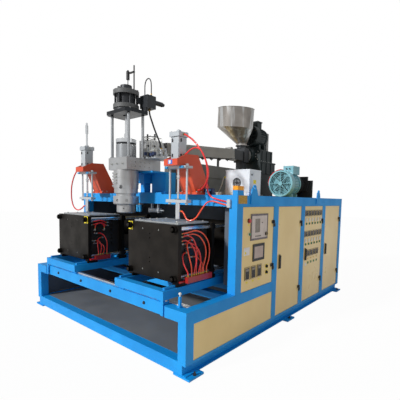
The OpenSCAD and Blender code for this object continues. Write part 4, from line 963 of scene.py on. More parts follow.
@dataclass
class OperatorDoor:
    """What is mounted on the first door: programmer, screen, keypads and push buttons.

    The pairs are places on the door's face as (y, z), two of them a rectangle's corners.
    """

    body: str = "door_1"
    programmer: tuple[Pair, Pair] = ((978.6, 1145.6), (1335.4, 1436.4))
    membrane: tuple[Pair, Pair] = ((1000.0, 1167.0), (1314.0, 1415.0))
    display: tuple[Pair, Pair] = ((1064.0, 1230.0), (1162.0, 1382.0))
    screen: tuple[Pair, Pair] = ((1034.6, 909.6), (1275.4, 1100.4))
    screen_glass: tuple[Pair, Pair] = ((1064.0, 939.0), (1246.0, 1071.0))
    label: tuple[Pair, Pair] = ((862.0, 992.0), (972.0, 1078.0))
    keypads: tuple[float, ...] = (934.0, 1056.0, 1180.0)
    knob: Pair = (1298.0, 1205.0)
    cap: Pair = (1207.0, 1336.0)
    start: Pair = (955.0, 1219.0)
    stop: Pair = (942.0, 1364.0)
    selectors: tuple[Pair, ...] = ((1342.0, 815.0), (1344.0, 745.0))

    def bezels(self) -> None:
        """The frames round the programmer, the screen and the keypads."""
        Part("programmer_bezel", BEZEL_GREY, Slot.GREY, self.body).plate(
            DOOR_FACE, 8.4, *self.programmer, rim=20, sink=2.8
        ).done()
        black = Part("door_1_black_bezels", BLACK_ABS, Slot.BLACK, self.body)
        black.plate(DOOR_FACE, 8.6, *self.screen, rim=28, sink=3.2)
        for y in self.keypads:
            black.plate(DOOR_FACE, 8.4, (y - 46.4, 719.6), (y + 46.4, 860.4), rim=6, sink=3)
            black.plate(DOOR_FACE + 5, 2.4, (y - 34, 812), (y + 34, 846))
        black.done()

    def faces(self) -> None:
        """The programmer's membrane and the glass of the displays."""
        x = DOOR_FACE + 5
        Part("programmer_face", MEMBRANE, Slot.WHITE, self.body).plate(
            x, 1.6, *self.membrane, 0.3
        ).done()
        Part("programmer_display", GLASS_GREY, Slot.GREY, self.body).plate(
            x + 1, 1.6, *self.display, 0.5, sink=0.6, rim=6
        ).done()
        Part("operator_screen", GLASS_BROWN, Slot.GREY, self.body).plate(
            x, 1.8, *self.screen_glass, 0.3, sink=0.5, rim=5
        ).done()
        digits = Part("keypad_displays", GLASS_GREY, Slot.GREY, self.body)
        for y in self.keypads:
            digits.plate(x + 2, 0.9, (y - 29, 816), (y + 29, 842), 0.3)
        digits.done()

    def keys(self) -> None:
        """The keys of the keypads and the programmer, with its knob."""
        x = DOOR_FACE + 5
        keys = Part("keypad_keys", GLASS_DARK, Slot.BLACK, self.body)
        for pad, row, column in product(self.keypads, range(4), (-22, 0, 22)):
            y, z = pad + column, 736 + row * 18
            keys.plate(x, 2.2, (y - 7, z - 5), (y + 7, z + 5), 0.8)
        for column in range(5):
            y = 1072 + column * 24
            keys.plate(x + 1, 2, (y, 1182), (y + 16, 1196), 0.8)
        keys.lathe((x + 1, *self.cap), Axis.RIGHT, ring(0, 6, 5, (1, 1)), 16)
        keys.done()
        knob = Part("programmer_knob", BLACK_ABS, Slot.BLACK, self.body)
        profile = ((0, 0), (24, 0), (24, 3), (20.6, 4), (20.6, 17), (18, 20.4), (0, 20.4))
        knob.lathe((x - 2, *self.knob), Axis.RIGHT, profile, 28)
        knob.done()

    def collars(self) -> None:
        """Collars, legend plates and lamps of the push buttons and the selectors."""
        x = DOOR_FACE
        Part("start_button_collar", WHITE_ABS, Slot.WHITE, self.body).lathe(
            (x, *self.start), Axis.RIGHT, ring(14.7, 19, 5, (1.5, 2)), 24
        ).done()
        black = Part("button_collars", BLACK_ABS, Slot.BLACK, self.body)
        black.lathe((x, *self.stop), Axis.RIGHT, ring(20.7, 26, 5, (2, 2)), 28)
        yellow = Part("selector_legends", YELLOW_FOIL, Slot.WHITE, self.body)
        for y, z in self.selectors:
            black.lathe((x + 0.9, y, z), Axis.RIGHT, ring(15.8, 20, 4.4, (1.5, 1.4)), 24)
            yellow.plate(x, 0.9, (y - 22, z - 28), (y + 36, z + 24), 0)
        black.done()
        yellow.plate(x, 1.2, (928, 1312), (950, 1326), 0)
        for y in self.keypads:
            yellow.plate(x, 0.6, (y - 18, 684), (y + 18, 702), 0)
        yellow.rod((x + 0.5, 893, 1020), Axis.RIGHT, 24, 0.7, 3)
        yellow.done()
        Part("door_1_blank_label", WHITE_FOIL, Slot.WHITE, self.body).plate(
            x, 0.6, *self.label, 0
        ).done()

    def build(self) -> None:
        """Makes everything on the door."""
        self.bezels()
        self.faces()
        self.keys()
        self.collars()


@dataclass(frozen=True)
class ControllerRow:
    """A row of temperature controllers, from its first middle towards the rear."""

    first: float
    pitch: float
    count: int
    level: float
    width: float
    height: float

    def middles(self) -> list[float]:
        """The middle of each controller across the door."""
        return [self.first + self.pitch * k for k in range(self.count)]


@dataclass
class HeaterDoor:
    """Rows of temperature controllers with lamps and toggles on the third door."""

    body: str = "door_3"
    upper: tuple[ControllerRow, ...] = (
        ControllerRow(2432.0, 103.0, 6, 1412.0, 90.0, 86.0),
        ControllerRow(2432.0, 103.0, 6, 1115.0, 90.0, 86.0),
    )
    lower: ControllerRow = ControllerRow(2540.0, 106.0, 4, 828.0, 92.0, 92.0)

    def build(self) -> None:
        """Makes bezels, displays, keys, lamps, toggles and blank labels."""
        x = DOOR_FACE
        bezels = Part("controller_bezels", BLACK_ABS, Slot.BLACK, self.body)
        glass = Part("controller_displays", GLASS_DARK, Slot.BLACK, self.body)
        keys = Part("controller_keys", GLASS_DARK, Slot.BLACK, self.body)
        lamps = Part("controller_lamps", WHITE_ABS, Slot.WHITE, self.body)
        toggles = Part("controller_toggles", GREEN_ABS, Slot.GREEN, self.body)
        blanks = Part("controller_blanks", TAN, Slot.TAN, self.body)
        for row in (*self.upper, self.lower):
            z, half, tall = row.level, row.width / 2 + 0.4, row.height / 2 + 0.4
            for y in row.middles():
                bezels.plate(x, 8, (y - half, z - tall), (y + half, z + tall), rim=7, sink=2.7)
                glass.plate(x + 4.6, 2, (y - 32, z - 2), (y + 32, z + 30), 0.4)
                for key in (y - 24, y, y + 24):
                    keys.plate(x + 4.6, 2.2, (key - 7, z - 28), (key + 7, z - 18), 0.8)
        for row in self.upper:
            z = row.level
            for y in row.middles():
                lamps.plate(x, 9.6, (y - 20, z - 122), (y + 20, z - 68), 2.5)
                toggles.plate(x, 6, (y - 18, z - 166), (y + 18, z - 134), 1.5)
                bezels.plate(x + 6, 3.6, (y - 2, z - 162), (y + 14, z - 138), 1)
        for y in self.lower.middles():
            blanks.plate(x, 9.6, (y - 11, 737), (y + 11, 757), 1.5)
            toggles.plate(x, 6, (y - 18, 672), (y + 18, 704), 1.5)
            bezels.plate(x + 6, 3.6, (y - 4, 682), (y + 10, 694), 1)
        lamps.plate(x, 0.7, (2436, 652), (2496, 694), 0)
        for part in (bezels, glass, keys, lamps, toggles, blanks):
            part.done()


@dataclass
class Station:
    """Small parts of one clamping station: stickers, screws, tie bar ends and elbows.

    The tie bars are given as (x, z) from the station's middle, and the hose tails on the
    water manifold by their Y.
    """

    side: str
    middle: float
    sticker: Pair
    elbows: tuple[tuple[Point, Axis], ...]
    manifold_x: float
    tails: tuple[float, ...]
    bars: tuple[Pair, ...] = ((-345, 812), (-345, 1293), (345, 812), (345, 1293))
    mould_half: float = 320.0
    mould_top: float = 1350.0
    elbow: float = 22.0

    def build(self) -> None:
        """Makes the pieces that ride on the front platen and on the rear one."""
        front, rear = f"front_clamp_{self.side}", f"rear_platen_{self.side}"
        Part(f"platen_label_{self.side}", YELLOW_FOIL, Slot.WHITE, front).block(
            (self.sticker[0], 179.2, 1243), (self.sticker[1], 180, 1332), 0
        ).done()
        screws = Part(f"platen_screws_{self.side}", ZINC, Slot.BRIGHT, front)
        for z, x in product((837.8, 1267.2), (-150, 100)):
            screws.screw((self.middle + x, 195, z), Axis.FRONT, 9.6)
        self.top_screws(screws, (260, 400))
        screws.done()
        self.tie_bars(front)
        behind = Part(f"mould_screws_{self.side}", ZINC, Slot.BRIGHT, rear)
        self.top_screws(behind, (500, 640))
        behind.done()
        wipers = Part(f"guide_wipers_{self.side}", BLACK_ABS, Slot.BLACK, rear)
        for x, z in self.bars:
            wipers.lathe((self.middle + x, 750, z), Axis.REAR, ring(22.6, 33, 7, (3, 7)), 24)
        wipers.done()
        self.fittings(front)

    def top_screws(self, part: Part, rows: Pair) -> None:
        """The screws in the top plate of a mould half.

        Args:
            part: the piece that they become part of.
            rows: the Y of the two rows.
        """
        for x, y in product((-290, 290), rows):
            part.screw((self.middle + x, y, self.mould_top), Axis.UP, 9)

    def tie_bars(self, body: str) -> None:
        """The turned ends of the tie bars and the chromed surface of the bars.

        Args:
            body: the body that they ride on.
        """
        end = ((0, -0.6), (14, -0.6), (18.4, 2), (18.4, 12), (33.3, 12), (33.3, 45.6), (0, 45.6))
        ends = Part(f"tie_bar_ends_{self.side}", BLACK_OXIDE, Slot.BLACK_PLATE, body)
        chrome = Part(f"tie_bar_chrome_{self.side}", CHROME, Slot.BRIGHT, body)
        for x, z in self.bars:
            ends.lathe((self.middle + x, 134, z), Axis.REAR, end, 24)
            chrome.rod((self.middle + x, 225.2, z), Axis.REAR, 22.15, 894.6, 32)
        ends.done()
        chrome.done()

    def fittings(self, body: str) -> None:
        """The plated elbows on the mould's side and the hose tails on the manifold.

        Args:
            body: the body that they ride on.
        """
        face, arm = self.middle + self.mould_half, self.elbow
        feet = {Axis.REAR: (0, -arm, 0), Axis.FRONT: (0, arm, 0), Axis.UP: (0, 0, -arm)}
        plated = Part(f"mould_elbows_{self.side}", ZINC, Slot.BRIGHT, body)
        for spot, axis in self.elbows:
            foot = tuple(a + b for a, b in zip(spot, feet[axis]))
            plated.rod((face + 0.2, foot[1], foot[2]), Axis.RIGHT, 11.5, 10.4, 6)
            plated.rod((face, foot[1], foot[2]), Axis.RIGHT, 8.5, foot[0] - face + 7.6, 16)
            plated.rod(foot, axis, 8.5, 21.6, 16)
        plated.done()
        tails = Part(f"manifold_tails_{self.side}", BRASS, Slot.STEEL, body)
        for y in self.tails:
            tails.rod((self.manifold_x, y, 826.1), Axis.UP, 13.4, 2.6, 6)
            tails.rod((self.manifold_x, y, 828), Axis.UP, 8.6, 3.6, 16)
        for y in (self.tails[0] - 20, self.tails[-1] + 20):
            tails.screw((self.manifold_x, y, 826), Axis.UP, 6)
        tails.done()


@dataclass
class BlowUnit:
    """Small parts of one blow unit: sensors, wiper, cushions, nuts and screws."""

    side: str
    x: float
    y: float = 450.0
    barrel_half: float = 58.3
    cap_front: float = 392.6

    def build(self) -> None:
        """Makes the pieces on the cylinder, its cage and its arm."""
        x, y, half = self.x, self.y, self.barrel_half
        dark = Part(f"blow_unit_{self.side}_seals", BLACK_ABS, Slot.BLACK)
        for low, high in ((2222, 2225), (1971, 1973.5)):
            dark.block((x - half, y - half, low), (x + half, y + half, high), 0.3)
        for z in (2015, 2170):
            dark.block((x + 57.5, 420, z), (x + 66, 432, z + 34), 1.5)
            dark.block((x - 38, 384, z), (x - 26, 392.5, z + 34), 1.5)
        dark.lathe((x, y, 1576), Axis.UP, ring(27.4, 36, 8, (2, 8)), 24)
        dark.done()
        plated = Part(f"blow_unit_{self.side}_screws", ZINC, Slot.BRIGHT)
        for across, along in product((-110, 110), (620, 690, 840)):
            plated.screw((x + across, along, 1660), Axis.UP, 9)
        for across in (-48, 48):
            for z in (2249, 1954):
                plated.screw((x + across, self.cap_front, z), Axis.FRONT, 6)
            plated.screw((x + across, y, 1925), Axis.DOWN, 7)
        plated.lathe((x + 70, y, 2249), Axis.RIGHT, ring(0, 13, 6, (3.4, 1)), 6)
        plated.done()
        blue = Part(f"blow_unit_{self.side}_switches", BLUE_ABS, Slot.BLUE)
        blue.block((x + 80, 378, 1897), (x + 138, 395, 1921), 3)
        blue.block((x - 138, 378, 1899), (x - 96, 395, 1919), 3)
        blue.done()
        nuts = Part(f"blow_pin_{self.side}_nuts", ZINC, Slot.BRIGHT, f"blow_pin_{self.side}")
        nuts.rod((x, y, 1640), Axis.UP, 21, 14, 6)
        nuts.rod((x, y, 1792), Axis.UP, 20, 12, 6)
        nuts.done()


@dataclass
class ArmLabel:
    """The blank blue and white label on the front of the right-hand blow arm."""

    low: Point = (883.0, 334.1, 1938.0)
    high: Point = (943.0, 335.0, 1982.0)

    def build(self) -> None:
        """Makes the blue foil and the white field on it."""
        low, high = self.low, self.high
        Part("arm_label", BLUE_FOIL, Slot.WHITE).block(low, high, 0).done()
        Part("arm_label_field", WHITE_FOIL, Slot.WHITE).block(
            (low[0] + 8, low[1] - 0.4, low[2] + 6), (high[0] - 22, low[1], high[2] - 6), 0
        ).done()


@dataclass
class DieHead:
    """Heater bands, cartridge heaters, screws and cylinder rims of the die head's column.

    A band is its lowest and highest Z, and a rim its lowest Z and its height.
    """

    y: float = 450.0
    radius: float = 148.0
    bands: tuple[Pair, ...] = ((1742.0, 1802.0), (1818.0, 1878.0))
    rims: tuple[Pair, ...] = ((2647.0, 46.0), (2809.0, 50.0))
    rim_radii: Pair = (142.0, 152.3)

    def build(self) -> None:
        """Makes the bands, then the screws, the rims and the blank plate of the portal."""
        bands = Part("head_heater_bands", HEAD_STEEL, Slot.STEEL)
        clamps = Part("heater_band_clamps", ZINC, Slot.BRIGHT)
        inner = self.radius + SKIN
        front = self.y - inner
        for low, high in self.bands:
            bands.lathe((0, self.y, low), Axis.UP, ring(inner, inner + 3, high - low), 64)
            for z in (low + 14, high - 14):
                clamps.block((-28, front - 14, z - 6), (28, front - 1, z + 6), 1)
                clamps.screw((-28, front - 8, z), Axis.LEFT, 4)
        self.screws(clamps)
        clamps.done()
        bands.done()
        rims = Part("push_cylinder_rims", CHARCOAL, Slot.DARK)
        for z, height in self.rims:
            section = ring(*self.rim_radii, height + 0.4)
            rims.lathe((0, self.y, z - 0.2), Axis.UP, section, 48)
        rims.done()
        Part("portal_blank_plate", GOLD_PLATE, Slot.STEEL).plate(
            1500, 1.6, (733, 1547), (892, 1633), 0
        ).done()

    def screws(self, part: Part) -> None:
        """The screws and cartridge heaters of the head block, the ring and the top plate.

        Args:
            part: the piece that they become part of.
        """
        for y, z in product((385, 445, 515, 585, 655), (1961, 2011)):
            part.screw((174, y, z), Axis.RIGHT, 7)
        for x in (-110, 0, 110):
            part.rod((x, 350, 1986), Axis.FRONT, 6.5, 52, 12)
            part.rod((x, 324.8, 1986), Axis.FRONT, 11, 6, 6)
        for x, y in bolt_circle(8, 102):
            part.screw((x, self.y + y, 2222), Axis.UP, 7)
        for x, y in product((-205, 205), (360, 560)):
            part.screw((x, y, 2616), Axis.UP, 9)


@dataclass
class HeadPipework:
    """Tubes, valves and unions that crowd the space between the die head and the extruder."""

    foot: float = 2062.0
    valve_top: float = 2208.0
    valves: int = 4
    loops: int = 3

    def valve(self, tubes: Part, black: Part, number: int) -> None:
        """One valve's knob and nuts, with the tube that runs from it to the head.

        Args:
            tubes: the piece that holds the tubes and the nuts.
            black: the piece that holds the knobs.
            number: the valve's number, counted from the head.
        """
        x, y, port = 178 + 42 * number, 640 + 60 * number, self.foot + 120
        top, end, row = 2262 + 22 * number, 150 - 24 * number, 596 + 8 * number
        knob = ((0, 0), (9, 0), (9, 6), (17, 8), (17, 26), (0, 28))
        black.lathe((x, y, self.valve_top + 0.2), Axis.UP, knob, 16)
        tubes.rod((x, y - 24, port), Axis.FRONT, 9, 16, 6)
        tubes.rod((x, y - 40, port), Axis.FRONT, 6, 18, 12)
        tubes.pipe(
            ((x, y - 58, port), (x, y - 66, port + 12), (x, y - 66, top - 40),
             (x - 12, y - 66, top - 10), (x - 44, row + 4, top), (end + 44, row, top),
             (end + 12, row, top - 10), (end, row, top - 44), (end, row, self.foot + 26)),
            5,
        )
        tubes.rod((end, row, self.foot + 0.2), Axis.UP, 12, 26, 6)

    def loop(self, tubes: Part, number: int) -> None:
        """A thin tube that climbs over the valves and comes down behind them.

        Args:
            tubes: the piece that holds the tubes.
            number: the loop's number, counted from the head.
        """
        x, top, foot = 220 + 46 * number, 2236 + 16 * number, self.foot
        tubes.pipe(
            ((x, 620, foot + 60), (x, 606, foot + 66), (x, 596, foot + 90), (x, 596, top),
             (x + 18, 596, top + 26), (x + 52, 600, top + 32), (x + 76, 612, 2250),
             (x + 80, 640, 2180), (x + 80, 690, foot + 96), (x + 60, 760, foot + 40)),
            4,
        )

    def build(self) -> None:
        """Makes the tubes, the knobs and bars, the coils and the disc over the stand's ring."""
        tubes = Part("head_tubes", ZINC, Slot.BRIGHT)
        black = Part("valve_knobs", BLACK_ABS, Slot.BLACK)
        for number in range(self.valves):
            self.valve(tubes, black, number)
        for number in range(self.loops):
            self.loop(tubes, number)
        for z, low, high in ((2334, 128, 246), (2322, 270, 372)):
            black.rod((low, 628, z), Axis.RIGHT, 6, high - low, 12)
            black.rod(((low + high) / 2, 628, z - 46), Axis.UP, 10, 74, 12)
        black.block((258, 560, 2080), (286, 600, 2130), 3)
        black.done()
        tubes.rod((308, 596, 2150), Axis.RIGHT, 24, 62, 24)
        tubes.rod((370, 596, 2150), Axis.RIGHT, 15, 18, 6)
        tubes.done()
        coils = Part("valve_coils", NAVY_ABS, Slot.BLACK)
        for x, z in ((300, 2086), (344, 2094)):
            coils.block((x, 566, z), (x + 38, 606, z + 36), 4)
        coils.block((196, 566, 2100), (230, 604, 2140), 4)
        coils.done()
        disc = Part("stand_ring_disc", DARK_STEEL, Slot.DARK)
        section = ((64, 0), (104, 0), (104, 10), (119, 12), (119, 28), (64, 28))
        disc.lathe((0, 450, 2222.2), Axis.UP, section, 40)
        disc.done()


@dataclass
class PortalFittings:
    """Valves, filter bowls, the capped stub and the small cylinder on the portal beam."""

    beam_front: float = 715.0
    beam_low: float = 1515.0
    cylinder_z: float = 1428.0

    def build(self) -> None:
        """Makes the group on top of the beam, the one under it and the cap."""
        bank = Part("solenoid_bank", NAVY_ABS, Slot.BLACK)
        bank.block((994, 735, ROOF + 0.2), (1156, 790, 1664), 2)
        for x in (1002, 1054, 1106):
            bank.block((x, 742, 1664), (x + 40, 786, 1706), 4)
        bank.done()
        bowls = Part("air_bowls", BLUE_ABS, Slot.BLUE)
        bowl = ((0, 0), (12, 0), (22, 8), (22, 44), (15, 58), (15, 70), (0, 70))
        bowls.lathe((1113, self.beam_front - 22, 1630), Axis.UP, bowl, 24)
        bowls.block((1098, self.beam_front - 8, 1676), (1128, self.beam_front + 22, 1692), 2)
        hanging = ((0, 0), (22, 0), (22, 84), (16, 98), (0, 100))
        for x in (-182, -128):
            bowls.lathe((x, 765, self.beam_low - 22), Axis.DOWN, hanging, 24)
        bowls.done()
        Part("air_bowl_heads", GREY_ENAMEL, Slot.GREY).block(
            (-215, 735, self.beam_low - 24), (-95, 795, self.beam_low - 0.2), 3
        ).done()
        self.cylinder()
        Part("stub_cap", CAP_YELLOW, Slot.ORANGE).block(
            (1436.5, 715.5, 1684), (1501.6, 826.6, 1729), 3
        ).done()

    def cylinder(self) -> None:
        """The small cylinder that hangs under the beam on two brackets."""
        z = self.cylinder_z
        made = Part("underbeam_cylinder", ALUMINIUM, Slot.ALUMINIUM)
        made.rod((90, 765, z), Axis.RIGHT, 28, 170, 24)
        for low, high in ((78, 96), (252, 272)):
            made.block((low, 735, z - 30), (high, 795, z + 30), 2)
        made.rod((272, 765, z), Axis.RIGHT, 8, 70, 16)
        for x in (110, 230):
            made.block((x, 750, z + 24), (x + 18, 780, self.beam_low - 0.2), 1)
        made.done()


@dataclass
class Bed:
    """Fasteners and small fittings of the bed: bolts, anchors, stop post and cable chain."""

    foot_x: float = 1526.5
    foot_ys: tuple[float, ...] = (91.0, 1950.0, 3809.0)
    foot_top: float = 19.8
    beam_bolts: tuple[float, ...] = (-900.0, -315.0, 315.0, 900.0)
    post: Pair = (1342.0, 78.0)
    links: int = 10
    link_pitch: float = 24.0

    def bolts(self) -> None:
        """The bolts of the front beam, and an anchor with washer and nut at each foot."""
        bolts = Part("bed_bolts", DARK_STEEL, Slot.DARK)
        for x in self.beam_bolts:
            bolts.rod((x, 20, 558), Axis.FRONT, 17, 3, 24)
            bolts.rod((x, 17, 558), Axis.FRONT, 12.5, 9, 6)
        for side, y in product((-1, 1), self.foot_ys):
            x, z = side * self.foot_x, self.foot_top
            bolts.rod((x, y, z), Axis.UP, 18, 3, 20)
            bolts.rod((x, y, z + 3), Axis.UP, 15, 12, 6)
            bolts.rod((x, y, z + 15), Axis.UP, 9, 16, 14)
        bolts.done()

    def stop(self) -> None:
        """The stop post of the right-hand carriage, with its white knob."""
        x, y = self.post
        post = Part("carriage_stop_post", AZURE, Slot.BLUE)
        post.block((x - 20, y - 22, 600.2), (x + 20, y + 20, 616), 2)
        post.block((x - 12, y - 12, 616), (x + 12, y + 12, 700), 2)
        post.done()
        knob = Part("stop_post_knob", WHITE_ABS, Slot.WHITE)
        knob.rod((x, y, 700), Axis.UP, 5, 14, 12)
        ball = ((0, 0), (8, 1), (13, 6), (15, 13), (13, 20), (8, 25), (0, 26))
        knob.lathe((x, y, 712), Axis.UP, ball, 20)
        knob.done()

    def chain(self) -> None:
        """The cable chain of the right-hand carriage and the tray that it lies in."""
        chain = Part("cable_chain", WHITE_ABS, Slot.GREY)
        for link in range(self.links):
            x = 1150 + link * self.link_pitch
            for y in (128, 186):
                chain.block((x, y, 566), (x + 22, y + 6, 592), 2)
            for z in (588, 566):
                chain.block((x + 6, 134, z), (x + 16, 186, z + 4), 1)
        chain.done()
        tray = Part("chain_tray", AZURE, Slot.BLUE)
        tray.block((1140, 100.2, 560), (1399.8, 200, 565.8), 1)
        tray.block((1140, 100.2, 530), (1399.8, 106, 560), 1)
        tray.done()

    def build(self) -> None:
        """Makes the bolts, the stop post and the cable chain."""
        self.bolts()
        self.stop()
        self.chain()


@dataclass
class BarrelLine:
    """Vents, screws and conduit of the extruder's cover, on its tilted axis."""

    tilt: float = 4.2
    axis_y: float = 1510.0
    axis_z: float = 2278.0
    cover_half: float = 119.8
    seams: tuple[float, ...] = (-490.0, -118.0, 254.0, 626.0, 1018.0)
    louvres: int = 14
    terminals: int = 7

    def tilted(self, name: str, finish: Finish, slot: Slot) -> Part:
        """A piece whose primitives are placed along the barrel's tilted axis.

        Args:
            name: the piece's name.
            finish: its finish.
            slot: its slot.

        Returns:
            The piece, still to be filled.
        """
        part = Part(name, finish, slot)
        tilt = Matrix.Rotation(math.radians(self.tilt), 4, "X")
        part.base = Matrix.Translation((0.0, self.axis_y, self.axis_z)) @ tilt
        return part

    def build(self) -> None:
        """Makes the louvres, the screws, the seams and the conduit."""
        vents = self.tilted("cover_louvres", GREY_ENAMEL, Slot.GREY)
        screws = self.tilted("cover_screws", ZINC, Slot.BRIGHT)
        for side, axis, seam in ((-1, Axis.LEFT, -117.4), (1, Axis.RIGHT, 121)):
            face = side * self.cover_half
            near, far = sorted((face, face + side * 3.6))
            for k in range(self.louvres):
                y = -440 + k * 100
                # Plain sheet is left where the cover's halves meet
                if k % 7 < 5:
                    for z in (20, 38):
                        vents.block((near, y, z), (far, y + 70, z + 7), 1.5)
            for y in self.seams:
                for z in (-62, 66):
                    screws.rod((face, y, z), axis, 7, 3, 16)
                vents.block((near, y - 9, -77), (seam, y - 7, 79), 0)
        screws.done()
        vents.done()
        conduit = self.tilted("heater_terminals", BLACK_ABS, Slot.BLACK)
        for k in range(self.terminals):
            y = -420 + k * 205
            conduit.block((96, y, -112), (126, y + 52, -80), 3)
            conduit.rod((111, y + 26, -112), Axis.DOWN, 9, 12, 12)
        conduit.block((100, -430, -90), (118, 960, -80), 2)
        conduit.done()


@dataclass
class Motor:
    """Screws, glands, rim and blank nameplate of one electric motor."""

    name: str
    x: float
    z: float
    radius: float
    start: float
    box_low: Point
    box_high: Point
    rim_back: float = 124.0

    def build(self) -> None:
        """Makes the small parts of the motor and of its terminal box."""
        low, high = self.box_low, self.box_high
        x, y, z = ((a + b) / 2 for a, b in zip(low, high))
        plated = Part(f"{self.name}_screws", ZINC, Slot.BRIGHT)
        for across, up in bolt_circle(6, self.radius * 0.93):
            plated.screw((self.x + across, self.start, self.z + up), Axis.FRONT, 5)
        for sx, sy in product((low[0] + 12, high[0] - 12), (low[1] + 12, high[1] - 12)):
            plated.screw((sx, sy, high[2]), Axis.UP, 5)
        plated.done()
        Part(f"{self.name}_blank_plate", GOLD_PLATE, Slot.STEEL).plate(
            low[0] - 0.8, 0.8, (y - 40, z - 18), (y + 40, z + 18), 0
        ).done()
        glands = Part(f"{self.name}_glands", BLACK_ABS, Slot.BLACK)
        for gland in (x - 30, x + 30):
            glands.rod((gland, low[1], z), Axis.FRONT, 14, 8, 6)
            glands.rod((gland, low[1] - 8, z), Axis.FRONT, 11, 16, 16, 8)
        rim = ring(self.radius * 0.842, self.radius * 1.002, 4)
        glands.lathe((self.x, self.start + self.rim_back, self.z), Axis.REAR, rim, 48)
        glands.done()


@dataclass
class MotorSleeve:
    """The red cable sleeve clipped round the upper left of the pump motor."""

    middle: Pair = (680.0, 1880.0)
    y: float = 3152.0
    reach: float = 238.0
    clips: tuple[int, ...] = (1, 4, 7)

    def build(self) -> None:
        """Makes the sleeve and its clips."""
        turns = [math.radians(angle) for angle in range(188, 96, -10)]
        (x, z), y, reach = self.middle, self.y, self.reach
        arc = [(x + reach * math.cos(turn), y, z + reach * math.sin(turn)) for turn in turns]
        sleeve = Part("motor_cable_sleeve", HOSE_RED, Slot.HOSE_RED)
        x, _, z = arc[-1]
        sleeve.pipe((*arc, (x + 10, y + 30, z + 6), (x + 14, y + 122, z + 6)), 8)
        sleeve.done()
        clips = Part("sleeve_clips", ZINC, Slot.BRIGHT)
        for x, _, z in (arc[number] for number in self.clips):
            clips.block((x - 10, y - 9, z - 10), (x + 10, y + 16, z + 10), 2)
        clips.done()


@dataclass
class Gearbox:
    """Flange bolts, plugs, oil glass, breather and blank plate of the gearbox."""

    half: float = 250.0
    start: float = 3150.0
    split: float = 2292.0
    top: float = 2500.0
    flange_bolts: tuple[float, ...] = (30.0, 110.0, 170.0, 290.0, 340.0, 470.0, 520.0)
    barrel_half: float = 152.0

    def build(self) -> None:
        """Makes the bolts and the fittings."""
        side_x, front = -self.half, self.start
        bolts = Part("gearbox_bolts", ZINC, Slot.BRIGHT)
        for side, y in product((-1, 1), self.flange_bolts):
            bolts.rod((side * (self.half + 5.5), front + y, self.split), Axis.UP, 6, 7, 6)
        for x, z in product((-200, -70, 70, 200), (2325, 2470)):
            bolts.screw((x, front, z), Axis.FRONT, 8)
        for angle in range(22, 382, 45):
            turn = math.radians(angle)
            x = 168 * math.cos(turn)
            # Only the bolts beside the barrel, where the flange can be reached
            if abs(x) > self.barrel_half:
                bolts.screw((x, front, 2400 + 60 * math.sin(turn)), Axis.FRONT, 9)
        bolts.done()
        brass = Part("gearbox_plugs", BRASS, Slot.STEEL)
        brass.rod((side_x, front + 140, 2120), Axis.LEFT, 16, 12, 6)
        glass = ((0, 0), (24, 0), (24, 8), (17, 8), (17, 4), (0, 4))
        brass.lathe((side_x, front + 320, 2180), Axis.LEFT, glass, 24)
        brass.rod((-180, front + 60, self.top), Axis.UP, 14, 24, 16)
        brass.rod((-180, front + 60, self.top + 24), Axis.UP, 20, 14, 16, 14)
        brass.done()
        Part("gearbox_blank_plate", GOLD_PLATE, Slot.STEEL).plate(
            side_x - 0.8, 0.8, (front + 86, 2360), (front + 206, 2430), 0
        ).done()


@dataclass
class SwitchBox:
    """Lock, labels, glands, fan guard, lid edge and conduits of the small box on the roof."""

    left: float = 1125.0
    right: float = 1453.0
    front: float = 1000.0
    fan: Pair = (1282.0, 1775.0)
    guard_rings: tuple[float, ...] = (14.0, 27.0, 40.0, 53.0)

    def fittings(self) -> None:
        """The lock, the glands and the blank labels."""
        dark = Part("switch_box_fittings", BLACK_ABS, Slot.BLACK)
        dark.rod((self.right, 1040, 1862), Axis.RIGHT, 9, 4, 20)
        dark.plate(self.right, 5, (1052, 1700), (1066, 1726), 2)
        for y in (1090, 1150):
            dark.rod((1300, y, 1920), Axis.UP, 12, 10, 6)
        dark.done()
        label = Part("switch_box_labels", YELLOW_FOIL, Slot.WHITE)
        label.plate(self.right, 0.7, (1074, 1768), (1128, 1808), 0)
        label.rod((self.left, 1008, 1840), Axis.LEFT, 13, 14, 6)
        label.rod((self.left - 14, 1008, 1840), Axis.LEFT, 11, 10, 16, 8)
        label.done()

    def conduits(self) -> None:
        """The two conduits that run from the box down to the roof."""
        left, roof = self.left, ROOF + 0.2
        conduit = Part("switch_box_conduit", ZINC, Slot.GREY)
        conduit.pipe(
            ((left - 22, 1008, 1840), (left - 34, 1008, 1836), (left - 42, 1008, 1820),
             (left - 60, 1008, 1760), (left - 96, 1008, 1690), (left - 104, 1008, 1660),
             (left - 104, 1008, roof)),
            6,
        )
        conduit.pipe(
            ((left + 0.2, 1030, 1700), (left - 20, 1030, 1700), (left - 32, 1030, 1688),
             (left - 34, 1030, roof)),
            7,
        )
        conduit.done()

    def build(self) -> None:
        """Makes the small parts of the box."""
        self.fittings()
        self.conduits()
        front, (x, z) = self.front, self.fan
        guard = Part("fan_guard", BLACK_ABS, Slot.BLACK)
        for radius in self.guard_rings:
            guard.lathe((x, front - 0.2, z), Axis.FRONT, ring(radius - 2.5, radius + 2.5, 3), 36)
        for across, up in ((56, 3), (3, 56)):
            low = (x - across, front - 4.2, z - up)
            guard.block(low, (x + across, front - 1.2, z + up), 0.5)
        guard.done()
        lid = Part("switch_box_lid_edge", BOX_GREY, Slot.WHITE)
        lid.block((self.left - 3, front - 3, 1908), (1452.6, 1233, 1921.6), 1.5)
        for sx, sz in product((self.left + 14, 1436), (1650, 1890)):
            lid.rod((sx, front, sz), Axis.FRONT, 6, 2.5, 16)
        lid.done()


